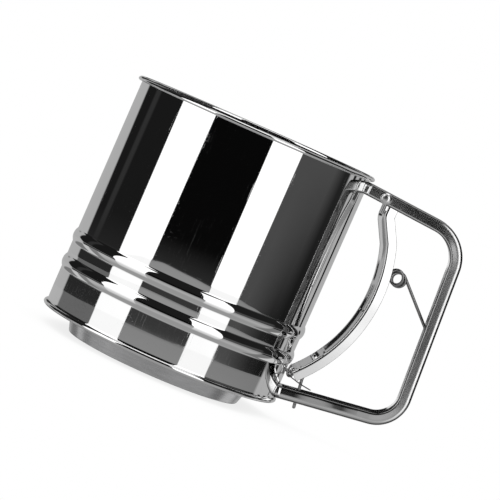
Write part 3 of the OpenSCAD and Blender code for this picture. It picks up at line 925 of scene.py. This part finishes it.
# ---------------------------------------------------------------- handle
# x, z of the strip's outer face: top end, upper corner, lower corner, bottom end
HANDLE_CORNERS = ((50, 103.5), (96.9, 100.1), (101.7, 16.1), (50.6, 9.0))
UPPER_BEND, LOWER_BEND = 17, 14.5
BEND_STEPS = 22
UPPER_MARKS = (0, 0.25, 0.7, 1.25, 1.55, 1.8, 2.3, 4, 6, 8.5, 11, 14, 18, 22, 26)
GRIP_MARKS = (0.4, 1.5, 5, 10, 15, 20, 25, 30, 35, 40, 45)
# lower arm stations, as distances in x from the cup wall
LOWER_MARKS = (33.8, 33.25, 30, 27, 24, 21.5, 19, 16.5, 14, 11.5, 9.5, 8.0, 7.35, 6.8, 5.0, 3.6,
               2.6, 1.8, 1.55, 1.25, 0.7, 0.25, 0)
GUIDE_SLOT = (6.8, 33.8)   # ends of the slot in the lower arm, as distances from the wall
WEB_Y = (-3.2, -2.6, -2.25, -0.95, -0.6, 0.0, 1.6, 3.2)   # the slot lies between -2.6 and -0.6

CHANNEL_DEPTH, CHANNEL_HALF = 5.1, 6.5
CORNER_DEPTH, CORNER_WIDTH = 2.1, 1.2   # half axes of the rounded shoulder
LIP_RADIUS = 1.05


def handle_path():
    """Stations (x, z, heading) down the strip, the first index of each bend, and the
    indices that lie along the guide slot."""
    top, grip, bottom = (heading(*ends) for ends in zip(HANDLE_CORNERS, HANDLE_CORNERS[1:]))
    upper_bend = bend(HANDLE_CORNERS[1], top, top - grip, UPPER_BEND, BEND_STEPS)
    lower_bend = bend(HANDLE_CORNERS[2], grip, grip - bottom, LOWER_BEND, BEND_STEPS)
    length = math.dist(HANDLE_CORNERS[0], upper_bend[0][:2])
    path = straight(HANDLE_CORNERS[0], top, UPPER_MARKS + (length - 1.5, length - 0.4))
    bends = [len(path)]
    path += upper_bend
    length = math.dist(upper_bend[-1][:2], lower_bend[0][:2])
    path += straight(upper_bend[-1], grip,
                     GRIP_MARKS + (length - 5, length - 1.5, length - 0.4))
    bends.append(len(path))
    path += lower_bend
    cosine = abs(math.cos(bottom))
    length = (lower_bend[-1][0] - WALL) / cosine
    path += straight(lower_bend[-1], bottom, [0.4] + [length - x / cosine for x in LOWER_MARKS])
    base = len(path) - len(LOWER_MARKS)
    slot = [base + i for i, x in enumerate(LOWER_MARKS) if GUIDE_SLOT[0] <= x <= GUIDE_SLOT[1]]
    return path, bends, slot


def flange_tilt(distances, bends):
    """Degrees the flanges lean outwards at each station, smoothed along the strip."""
    (upper, upper_end), (lower, lower_end) = (
        (distances[i], distances[i + BEND_STEPS]) for i in bends)
    end = distances[-1]
    # (distance along the strip, degrees)
    keys = (
        (0, 0.5), (6, 0.5), (upper - 9, 0.8), (upper + 4, 6.5), (0.5 * (upper + upper_end), 8.5),
        (upper_end - 2, 5.0), (upper_end + 7, 0.8), (0.5 * (upper_end + lower), 0.3),
        (lower - 8, 0.9), (lower + 3, 4.5), (0.5 * (lower + lower_end), 8.0),
        (lower_end - 1, 6.5), (end - 38, 3.4), (end - 33.0, 2.9), (end - 31.5, -0.9),
        (end - 23.0, -1.2), (end - 20.5, 2.8), (end - 14, 3.0), (end - 9.5, -0.8),
        (end - 2, -1.0), (end, -0.6),
    )
    tilt = np.interp(distances, *zip(*keys))
    for _ in range(2):
        tilt = np.convolve(np.pad(tilt, 1, mode="edge"), [0.25, 0.5, 0.25], mode="valid")
    return tilt


def handle_section():
    """The whole channel section: (depth, y, normal depth, normal y, share down the flange)."""
    half = [(0.0, y, 1.0, 0.0, 0.0) for y in (4.5, 5.05)]
    for k in range(11):
        turn = math.radians(90 * k / 10)
        normal_depth, normal_y = math.cos(turn) / CORNER_DEPTH, math.sin(turn) / CORNER_WIDTH
        length = math.hypot(normal_depth, normal_y)
        half.append((-CORNER_DEPTH + CORNER_DEPTH * math.cos(turn),
                     CHANNEL_HALF - CORNER_WIDTH + CORNER_WIDTH * math.sin(turn),
                     normal_depth / length, normal_y / length, 0.0))
    flange = CHANNEL_DEPTH - CORNER_DEPTH
    for share in (0.1, 0.25, 0.4, 0.55, 0.65):
        half.append((-CORNER_DEPTH - flange * share, CHANNEL_HALF, 0.0, 1.0, share))
    lip_depth = CORNER_DEPTH + flange * 0.65
    for i in range(1, 9):   # the free edge curls inwards
        turn = math.radians(72 * i / 8)
        half.append((-lip_depth - LIP_RADIUS * math.sin(turn),
                     CHANNEL_HALF - LIP_RADIUS * (1 - math.cos(turn)),
                     -math.sin(turn), math.cos(turn), 0.65 + 0.35 * i / 8))
    web = [(0.0, y, 1.0, 0.0, 0.0) for y in WEB_Y]
    return mirrored(half) + web + half, len(half)


def handle_row(station, section, tilt, joggle, at_wall, thickness):
    """One row of points across the strip, moved in from the outer face by thickness."""
    x, z, angle = station
    row = []
    for depth, y, normal_depth, normal_y, share in section:
        if share > 0:   # lean the flange
            run = -depth - CORNER_DEPTH
            y = math.copysign(abs(y) + run * math.sin(tilt), y)
            depth = -CORNER_DEPTH - run * math.cos(tilt)
            side = abs(normal_y)
            normal_depth, normal_y = (
                normal_depth * math.cos(tilt) + side * math.sin(tilt),
                math.copysign(side * math.cos(tilt) - normal_depth * math.sin(tilt), normal_y))
        if joggle > 0 and depth < -0.35:
            y += math.copysign(joggle * min(1.0, (-depth - 0.35) / 1.2), y)
        depth, y = depth - normal_depth * thickness, y - normal_y * thickness
        point_x, point_z = x - depth * math.sin(angle), z + depth * math.cos(angle)
        if at_wall:   # the strip's ends follow the cup
            wall_x = math.sqrt((WALL + 0.04) ** 2 - min(abs(y), 8) ** 2)
            slide = (wall_x - point_x) / math.cos(angle)
            point_x += math.cos(angle) * slide
            point_z += math.sin(angle) * slide
        row.append((point_x, y, point_z))
    return row


def build_handle():
    path, bends, slot = handle_path()
    last = len(path) - 1
    distances = [0.0]
    for before, after in zip(path, path[1:]):
        distances.append(distances[-1] + math.hypot(after[0] - before[0], after[1] - before[1]))
    tilt = flange_tilt(distances, bends)
    section, half = handle_section()
    grids = []
    for thickness in (0, STRIP):
        grid = []
        for i, station in enumerate(path):
            # close to both ends the flanges are set outwards
            near = min(distances[i], distances[-1] - distances[i])
            joggle = 0.30 * (1 - min(1.0, max(0.0, (near - 1.25) / 0.35)))
            grid.append(handle_row(station, section, math.radians(tilt[i]), joggle,
                                   i in (0, last), thickness))
        # keep stations next to the curved ends from crossing them
        for end, way in ((0, 1), (last, -1)):
            for k in (1, 2, 3):
                i = end + way * k
                for j, (x, y, z) in enumerate(grid[i]):
                    least = grid[end][j][0] + 0.18 * k
                    if x < least:
                        grid[i][j] = (least, y, z + (least - x) * math.tan(path[i][2]))
        grids.append(grid)
    # the guide slot: three columns of cells from y = -2.6, less the four corner cells
    columns = [half + WEB_Y.index(y) for y in (-2.6, -2.25, -0.95)]
    removed = [(i, j) for i in slot[:-1] for j in columns
               if i not in (slot[0], slot[-2]) or j == columns[1]]
    piece("handle_frame_channel", shell(*grids, removed=removed), "frame", HANDLE,
          "handle_frame", sharp=45, bevel=0.22, segments=3)


def build_handle_tabs():
    """End plates against the wall, each with a round dimple in its middle."""
    for name, bottom, top in (("handle_tab_upper", 98.75, 102.45),
                              ("handle_tab_lower", 10.1, 14.0)):
        outer, inner = [], []
        for k in range(9):
            y = -5.35 + 10.7 * k / 8
            outer_row, inner_row = [], []
            for q in range(6):
                z = bottom + (top - bottom) * q / 5
                dimple = 0.28 * math.exp(-((y * y + (z - (bottom + top) / 2) ** 2) / 1.6))
                if k in (0, 8) and q in (0, 5):   # clipped corners
                    z += 0.25 if q == 0 else -0.25
                outer_row.append((math.sqrt(51.15 ** 2 - y * y) - dimple, y, z))
                inner_row.append((math.sqrt(50.04 ** 2 - y * y), y, z))
            outer.append(outer_row)
            inner.append(inner_row)
        piece(name, shell(outer, inner), "frame", HANDLE, None, sharp=45,
              bevel=0.2)


# ---------------------------------------------------------------- trigger
TRIGGER_RADIUS = 57.5
TRIGGER_TOP, TRIGGER_LOW = 19.4, -44.7   # ends of the curve, degrees about ARC_CENTRE
TRIGGER_STEPS = 64
TRIGGER_DEPTH = 6.8
KNEE = (PIVOT[0] - 0.4, 92.6)            # corner where the channel turns upright
KNEE_RADIUS = 8
UPRIGHT_Z = (95.2, 96.0, 96.8, 97.6, 98.3)
FLANGE_SPLAY = math.radians(13)
SHOULDER = 1.1                           # radius between the face and a flange
EAR = ([(1.5, -4.4), (4.0, -4.4), (3.8, -1.0)]
       + [(1.7 * math.cos(math.radians(q)), 1.7 * math.sin(math.radians(q)))
          for q in range(20, 201, 15)]
       + [(-1.45, -0.9), (-0.9, -1.7), (1.4, -2.3)])


def trigger_path():
    """Stations (x, z, heading, scale of depth) up the curve, over the knee and upright."""
    path = []
    for i in range(TRIGGER_STEPS + 1):
        degrees = TRIGGER_LOW + (TRIGGER_TOP - TRIGGER_LOW) * i / TRIGGER_STEPS
        path.append((ARC_CENTRE[0] + TRIGGER_RADIUS * math.cos(math.radians(degrees)),
                     ARC_CENTRE[1] + TRIGGER_RADIUS * math.sin(math.radians(degrees)),
                     math.radians(degrees + 90), 1.0))
    # the curve's last station is a mitre with the straight up to the knee
    x, z, curve_heading, _ = path.pop()
    slope = heading((x, z), KNEE)
    mitre = (curve_heading + slope) / 2
    path.append((x, z, mitre, 1 / math.cos(mitre - slope)))
    path += [(*station, 1.0) for station in bend(KNEE, slope, slope - math.pi / 2, KNEE_RADIUS, 10)]
    return path + [(KNEE[0], z, math.pi / 2, 1.0) for z in UPRIGHT_Z]


def trigger_section():
    """The channel section: (depth, y, normal depth, normal y, distance down the flange)."""
    # crowned finger face: a soft ridge, then a slant that flattens out to the shoulder
    line = [(0.0, 0.0), (-0.02, 0.25), (-0.09, 0.55), (-0.24, 0.88)]
    for k in range(1, 11):
        lean = math.radians(35.0 - 14.0 * (k - 0.5) / 10)
        line.append((line[-1][0] - 0.378 * math.tan(lean), line[-1][1] + 0.378))
    centre = (line[-1][0] - SHOULDER * math.cos(lean), line[-1][1] - SHOULDER * math.sin(lean))
    for k in range(1, 15):
        turn = lean + (math.pi / 2 + FLANGE_SPLAY - lean) * k / 14
        line.append((centre[0] + SHOULDER * math.cos(turn), centre[1] + SHOULDER * math.sin(turn)))
    depth, y = line[-1]
    length = (TRIGGER_DEPTH + depth) / math.cos(FLANGE_SPLAY)
    marks = (0.5, 1.1, 1.7, length - 0.55, length - 0.2, length)
    line += [(depth - math.cos(FLANGE_SPLAY) * d, y - math.sin(FLANGE_SPLAY) * d) for d in marks]
    section = [(*line[0], 1.0, 0.0, 0.0)]
    flange = len(line) - len(marks)
    for i in range(1, len(line)):
        before, after = line[i - 1], line[min(i + 1, len(line) - 1)]
        along_depth, along_y = after[0] - before[0], after[1] - before[1]
        size = math.hypot(along_depth, along_y)
        section.append((*line[i], along_y / size, -along_depth / size, 0.35 * max(0, i - flange)))
    return mirrored(section[1:]) + section


def trigger_row(station, section, thickness):
    x, z, angle, scale = station
    row = []
    for depth, y, normal_depth, normal_y, down in section:
        if down > 0:   # the flanges crumple a little where the channel turns at the knee
            height = z + scale * depth * math.cos(angle)
            crumple = math.exp(-((height - 92.2) / 3.0) ** 2) * min(1.0, down / 1.2)
            y += math.copysign(crumple * (0.16 * math.sin(height * 2.6 + 1.3 + down)
                                          + 0.10 * math.sin(height * 4.7 + 1.3)), y)
            depth += crumple * 0.14 * math.sin(height * 3.1 + 0.5)
        depth, y = depth - normal_depth * thickness, y - normal_y * thickness
        row.append((x - scale * depth * math.sin(angle), y, z + scale * depth * math.cos(angle)))
    return row


def build_trigger_channel():
    path, section = trigger_path(), trigger_section()
    grids = [[trigger_row(station, section, t) for station in path] for t in (0, STRIP)]
    piece("trigger_channel", shell(*grids), "trigger", TRIGGER, "trigger",
          sharp=50, bevel=0.2, segments=3)


def build_trigger_ears():
    """The two ears on the rivet."""
    for name, side in (("trigger_ear_near", -1), ("trigger_ear_far", 1)):
        def place(u, v, w):
            return PIVOT[0] + u, side * (5.0 - 0.21 * u) + w, PIVOT[1] + v

        piece(name, plate(EAR, circle(0, 0, 1.25, 32), STRIP / 2, place), "trigger", TRIGGER,
              None, sharp=45, bevel=0.12)


def build_eye_curl():
    """A tongue that curls round the link at the eye."""
    x, z = EYE
    line = [(x - 0.55, z + 3.6), (x - 0.95, z + 2.6), (x - 1.15, z + 1.6), (x - 1.19, z + 0.8)]
    for k in range(1, 31):
        turn = math.radians(320 * k / 30)
        line.append((x - 1.18 * math.cos(turn), z - 1.18 * math.sin(turn)))
    grids = [[], []]
    for k, point in enumerate(line):
        before, after = line[max(k - 1, 0)], line[min(k + 1, len(line) - 1)]
        tangent = unit(np.array(after) - np.array(before))
        normal = np.array((-tangent[1], tangent[0]))
        if normal @ (np.array(point) - np.array(EYE)) < 0:
            normal = -normal
        for grid, offset in zip(grids, (0.37, -0.37)):
            grid.append([(point[0] + normal[0] * offset, y, point[1] + normal[1] * offset)
                         for y in (-2.2, -1.4, -0.5, 0.5, 1.4, 2.2)])
    piece("trigger_eye_curl", shell(*grids), "trigger", TRIGGER, None,
          sharp=45, bevel=0.12)


def build_rod_lugs():
    """Lugs on the trigger, bored for the guide rod."""
    root, shoulder, tip = (TRIGGER_RADIUS + reach for reach in (0.45, 6.2, 6.9))
    outline = fillet([(root, -1.5), (shoulder, -1.5), (tip, -0.9), (tip, 0.9), (shoulder, 1.5),
                      (root, 1.5)], steps=2, radius=0.3)
    for name, degrees in (("rod_lug_upper", -8), ("rod_lug_lower", -34)):
        angle = math.radians(degrees)

        def place(u, v, w):
            return (ARC_CENTRE[0] + u * math.cos(angle) - w * math.sin(angle), ROD_Y + v,
                    ARC_CENTRE[1] + u * math.sin(angle) + w * math.cos(angle))

        piece(name, plate(outline, circle(ROD_ARC, 0, 0.68, 24), 0.45, place), "trigger",
              TRIGGER, None, sharp=45, bevel=0.1)


# (radius, y) of one rivet head, from its crown in to the shank
RIVET_HEAD = (
    (0.0, 7.70), (0.7, 7.69), (1.1, 7.60), (1.6, 7.38), (2.0, 7.10), (2.3, 6.82), (2.44, 6.66),
    (2.45, 6.58), (2.40, 6.53), (1.22, 6.53), (1.2, 6.4),
)


def build_rivet():
    profile = [*RIVET_HEAD, (1.2, 0.0)] + [(radius, -y) for radius, y in reversed(RIVET_HEAD)]

    def place(x, y, z):
        return PIVOT[0] + x, z, PIVOT[1] + y

    piece("trigger_rivet_domed", lathe(profile, 64, closed=False, place=place), "frame", RIVET,
          "trigger_rivet", sharp=50)


# ---------------------------------------------------------------- spring and guide rod
SPRING_TURN = 861.9    # degrees of coil
SPRING_PITCH = 1.6
SPRING_STEPS = 150
SPRING_LEG = 28


def build_spring():
    """Starts on the guide rod's line, coils towards +Y and ends in a straight leg."""
    path = []
    turns = SPRING_TURN / 360
    for i in range(SPRING_STEPS + 1):
        share = i / SPRING_STEPS
        angle = math.radians(COIL_ANGLE + 180 - SPRING_TURN * share)
        # the coil's centre drifts after the first quarter turn
        drift = smoothstep(min(1.0, max(0.0, (share * turns - 0.25) / 1.25)))
        path.append((COIL_CENTRE[0] + 1.5 * drift + COIL_RADIUS * math.cos(angle),
                     ROD_Y + SPRING_PITCH * turns * share,
                     COIL_CENTRE[1] - 0.75 * drift + COIL_RADIUS * math.sin(angle)))
    angle = math.radians(COIL_ANGLE + 180 - SPRING_TURN)
    away = angle - math.pi / 2
    tip = (COIL_CENTRE[0] + COIL_RADIUS * math.cos(angle) + SPRING_LEG * math.cos(away),
           path[-1][1],
           COIL_CENTRE[1] + COIL_RADIUS * math.sin(angle) + SPRING_LEG * math.sin(away))
    path += between(path[-1], tip, 24) + [tip]
    piece("return_spring_coil", tube(path, SPRING_WIRE), "spring", WIRE, "return_spring",
          sharp=60)


def build_guide_rod():
    """An arc through the trigger's lugs, a soft knee and a straight end pointing down."""
    arc = [(ARC_CENTRE[0] + ROD_ARC * math.cos(math.radians(degrees)), ROD_Y,
            ARC_CENTRE[1] + ROD_ARC * math.sin(math.radians(degrees)))
           for degrees in evenly(COIL_ANGLE - 0.8, -41.7, 60)]
    corner = arc[-1]
    tip = (corner[0] + 1.72, ROD_Y, corner[2] - 13.1)
    knee = ease_corner(arc[-4], corner, tip, 1.6, 8)
    path = arc[:-3] + knee + between(knee[-1], tip, 12) + [tip]
    radii = [SPRING_WIRE] * (len(path) - 4) + [0.66, 0.68, 0.69, 0.69]
    piece("guide_rod_wire", tube(path, radii), "trigger", WIRE, "guide_rod",
          sharp=60)


# ---------------------------------------------------------------- studio
# The surroundings are painted by direction, in degrees: azimuth 0 is the viewer's side (-Y)
# and 90 the handle's (+X); elevation is up from the horizon, dip is down from it.

# upright edges between the panels: (azimuth, how far it shifts per degree of elevation)
PANEL_EDGES = ((-131.8, -1.5), (-75.2, -0.4), (-39.2, 0.1), (19.6, -0.4), (49.3, 0.0))


def direction(vector, sign):
    """Azimuth and elevation of a direction; sign -1 reverses it first."""
    x, y, z = (part * sign for part in components(vector))
    degrees = 180 / math.pi
    azimuth = maths("ARCTAN2", x, y * -1.0) * degrees
    return azimuth, maths("ARCSINE", z) * degrees


def panel_steps(azimuth, elevation, widths):
    """For each panel edge, 0 before it and 1 beyond it; the edges are a little off plumb."""
    steps = []
    for (base, slope), width in zip(PANEL_EDGES, widths):
        height = maths("MINIMUM", maths("MAXIMUM", elevation, -6.0), 1.0)
        steps.append(step(azimuth, base + (height + 2.7) * slope, width))
    return steps


def build_world():
    """A soft box with white walls, dark screens and a dark ceiling with a lamp."""
    world = bpy.data.worlds.new("studio")
    scene.world = world
    tree = fresh_tree(world)
    output = add(tree, "OutputWorld")
    az, el = direction(Signal(add(tree, "TexCoord"), "Generated"), 1.0)
    edges = panel_steps(az, el, widths=(3.0, 0.7, 0.5, 0.5, 0.7))
    edges.append(step(az, 113.0, 3.0))

    # brightness of each panel, with a fuzzy foot
    foot = 1.0 - step(el, -4.0, 1.0)
    left = mix(0.010, 0.030, window(az, -116.0, -108.0, 3.0))   # a paler streak in it
    left = mix(left, 0.022, foot)
    centre = mix(0.0025, 0.040, foot)
    fall = 1.0 - step(el, -2.6, 3.2)
    right = mix(0.072, 0.018, fall * step(az, 74.0, 30.0))
    right = mix(right, 0.008, step(az, 98.0, 14.0) * 0.85)
    white = mix(1.35, 1.12, foot)
    high = step(el, 9.0, 4.0)
    centre = mix(centre, 0.012, high)
    right = mix(right, 0.014, high)
    light = 0.44
    for panel, edge in zip((left, white, centre, white, right, 0.44), edges):
        light = mix(light, panel, edge)

    # narrow dark posts beyond the handle: start, end, brightness
    for start, end, brightness in ((120.0, 124.5, 0.015), (131.0, 137.0, 0.02),
                                   (144.0, 149.0, 0.01)):
        post = window(az, start, end, 0.8) * (1.0 - step(el, 6.0, 4.0))
        light = mix(light, brightness, post)
    # a dark screen high on the handle's side
    screen = window(az, 98.0, 138.0, 3.0) * window(el, -0.2, 24.0, 0.8, 3.0)
    light = mix(light, 0.012, screen)
    # dark upper parts at the back and on the side away from the handle
    reverse = az * -1.0
    back = maths("MAXIMUM", step(reverse, 150.0, 6.0), step(az, 168.0, 6.0))
    light = mix(light, 0.03, back * step(el, 9.0, 3.0))
    light = mix(light, 0.03, step(reverse, 128.0, 6.0) * step(el, 38.0, 4.0))
    # ceiling, paler beyond the handle
    ceiling = mix(0.012, 0.42, step(az, 105.0, 6.0))
    light = mix(light, ceiling, step(el, 52.0, 4.0))
    # lamp: from over the viewer's head to just past the zenith
    y = components(Signal(add(tree, "TexCoord"), "Generated"))[1]
    lamp_foot = mix(66.0, 82.0, step(az, 105.0, 6.0))
    light = mix(light, 1.25, step(el, lamp_foot, 3.0) * (1.0 - step(y, 0.22, 0.08)))
    # plain white to the camera
    light = mix(light, 1.0, Signal(add(tree, "LightPath"), "Is Camera Ray"))
    background = add(tree, "Background", {0: colour(light, light, light)})
    feed(Signal(background), output.inputs[0])


def floor_light(az, el):
    """Brightness of the table top as reflections see it, under the same panels."""
    dip = el * -1.0
    edges = panel_steps(az, el, widths=(3.0, 0.8, 0.6, 0.6, 0.8))
    near = step(dip, 7.5, 3.0) * 1.0
    side = mix(0.14, 0.02, step(dip, 8.5, 1.5))
    side = mix(side, 0.44, step(dip, 13.5, 2.0))
    panels = (side, 1.05, mix(0.21, 0.34, near), 1.05, mix(0.20, 0.32, near))
    light = 0.46
    for panel, edge in zip(panels, edges):
        light = mix(light, panel, edge)
    light = mix(light, 0.45, step(az, 113.0, 4.0))
    light = mix(light, 0.50, step(dip, 16.0, 8.0) * 0.6)
    light = mix(light, 0.33, step(dip, 32.0, 12.0))
    # a patch on either side, each with a pale band in it
    patch_dip = window(dip, 14.0, 48.0, 2.0, 8.0)
    patch = mix(mix(0.19, 0.58, step(az, -130.0, 2.0)), 0.22, step(az, -116.0, 2.0))
    light = mix(light, patch, patch_dip * (1.0 - step(az, -100.0, 3.0)))
    patch = mix(mix(0.19, 0.62, step(az, 118.0, 3.0)), 0.24, step(az, 143.0, 4.0))
    light = mix(light, patch, patch_dip * step(az, 98.0, 4.0))
    # a dark gap on the handle's side
    gap = window(dip, 7.3, 14.0, 0.6, 2.0) * window(az, 98.0, 132.0, 3.0)
    return mix(light, 0.015, gap), dip


def floor_material():
    """White to the camera with a faint contact shade; a painted table top in reflections;
    clear from below."""
    material = bpy.data.materials.new("pale_floor")
    tree = fresh_tree(material)
    output = add(tree, "OutputMaterial")
    geometry = add(tree, "NewGeometry")
    # reversed, Incoming is the way the ray travels
    light, dip = floor_light(*direction(Signal(geometry, "Incoming"), -1.0))
    table = add(tree, "Emission", {"Strength": 1.0, 0: colour(light, light, light)})

    occlusion = add(tree, "AmbientOcclusion", {"Distance": 0.028})
    occlusion.samples = 12
    shade = add(tree, "ValToRGB", {0: Signal(occlusion, "AO")})
    stops = ((0.0, 0.80), (0.4, 0.965), (0.75, 1.0), (1.0, 1.0))
    elements = shade.color_ramp.elements
    while len(elements) < len(stops):
        elements.new(0.5)
    for element, (position, grey) in zip(elements, stops):
        element.position = position
        element.color = (grey, grey, grey, 1)
    white = add(tree, "Emission", {"Strength": 1.0, 0: Signal(shade)})

    def choose(share, low, high):
        return add(tree, "MixShader", {0: share, 1: Signal(low), 2: Signal(high)})

    # the table ends at a dip of 5.45 degrees
    reflected = choose(1.0 - step(dip, 5.45, 0.05), table, add(tree, "BsdfTransparent"))
    seen = choose(Signal(add(tree, "LightPath"), "Is Camera Ray"), reflected, white)
    surface = choose(Signal(geometry, "Backfacing"), seen, add(tree, "BsdfTransparent"))
    feed(Signal(surface), output.inputs[0])
    return material


def build_floor():
    """A disc of 4 m radius, just below z = 0."""
    material = floor_material()
    data = bpy.data.meshes.new("floor")
    verts = [(x, y, -0.00012) for x, y in circle(0, 0, 4.0, 96)]
    data.from_pydata(verts, [], [tuple(range(96))])
    data.materials.append(material)
    ob = bpy.data.objects.new("floor", data)
    scene.collection.objects.link(ob)


def build_camera():
    """A long lens from the -Y side, rolled to lean the picture; places are in metres."""
    data = bpy.data.cameras.new("camera")
    camera = bpy.data.objects.new("camera", data)
    scene.collection.objects.link(camera)
    position = Vector((0.0171, -1.177, 0.1235))
    target = Vector((0.0171, 0.0, 0.0590))
    roll = Quaternion((0, 0, 1), math.radians(23.8))
    camera.location = position
    camera.rotation_mode = "QUATERNION"
    camera.rotation_quaternion = (target - position).to_track_quat("-Z", "Y") @ roll
    data.lens = 210.2
    data.sensor_width = 36
    data.clip_start = 0.05
    data.clip_end = 20
    scene.camera = camera


# ---------------------------------------------------------------- build
build_cup()
build_rings()
build_screen()
finish_cad_node("support_bridge", INNER, bevel=0.15)

build_stud_and_washers()
build_cap_nut()
build_hub()
build_blades()
finish_cad_node("crank_arm", INNER, bevel=0.14)

build_link()
build_push_nut()
build_clip()

build_handle()
build_handle_tabs()
build_trigger_channel()
build_trigger_ears()
build_eye_curl()
build_rod_lugs()
build_rivet()
build_spring()
build_guide_rod()

build_world()
build_floor()
scene.view_settings.view_transform = "Standard"
scene.view_settings.look = "None"
build_camera()
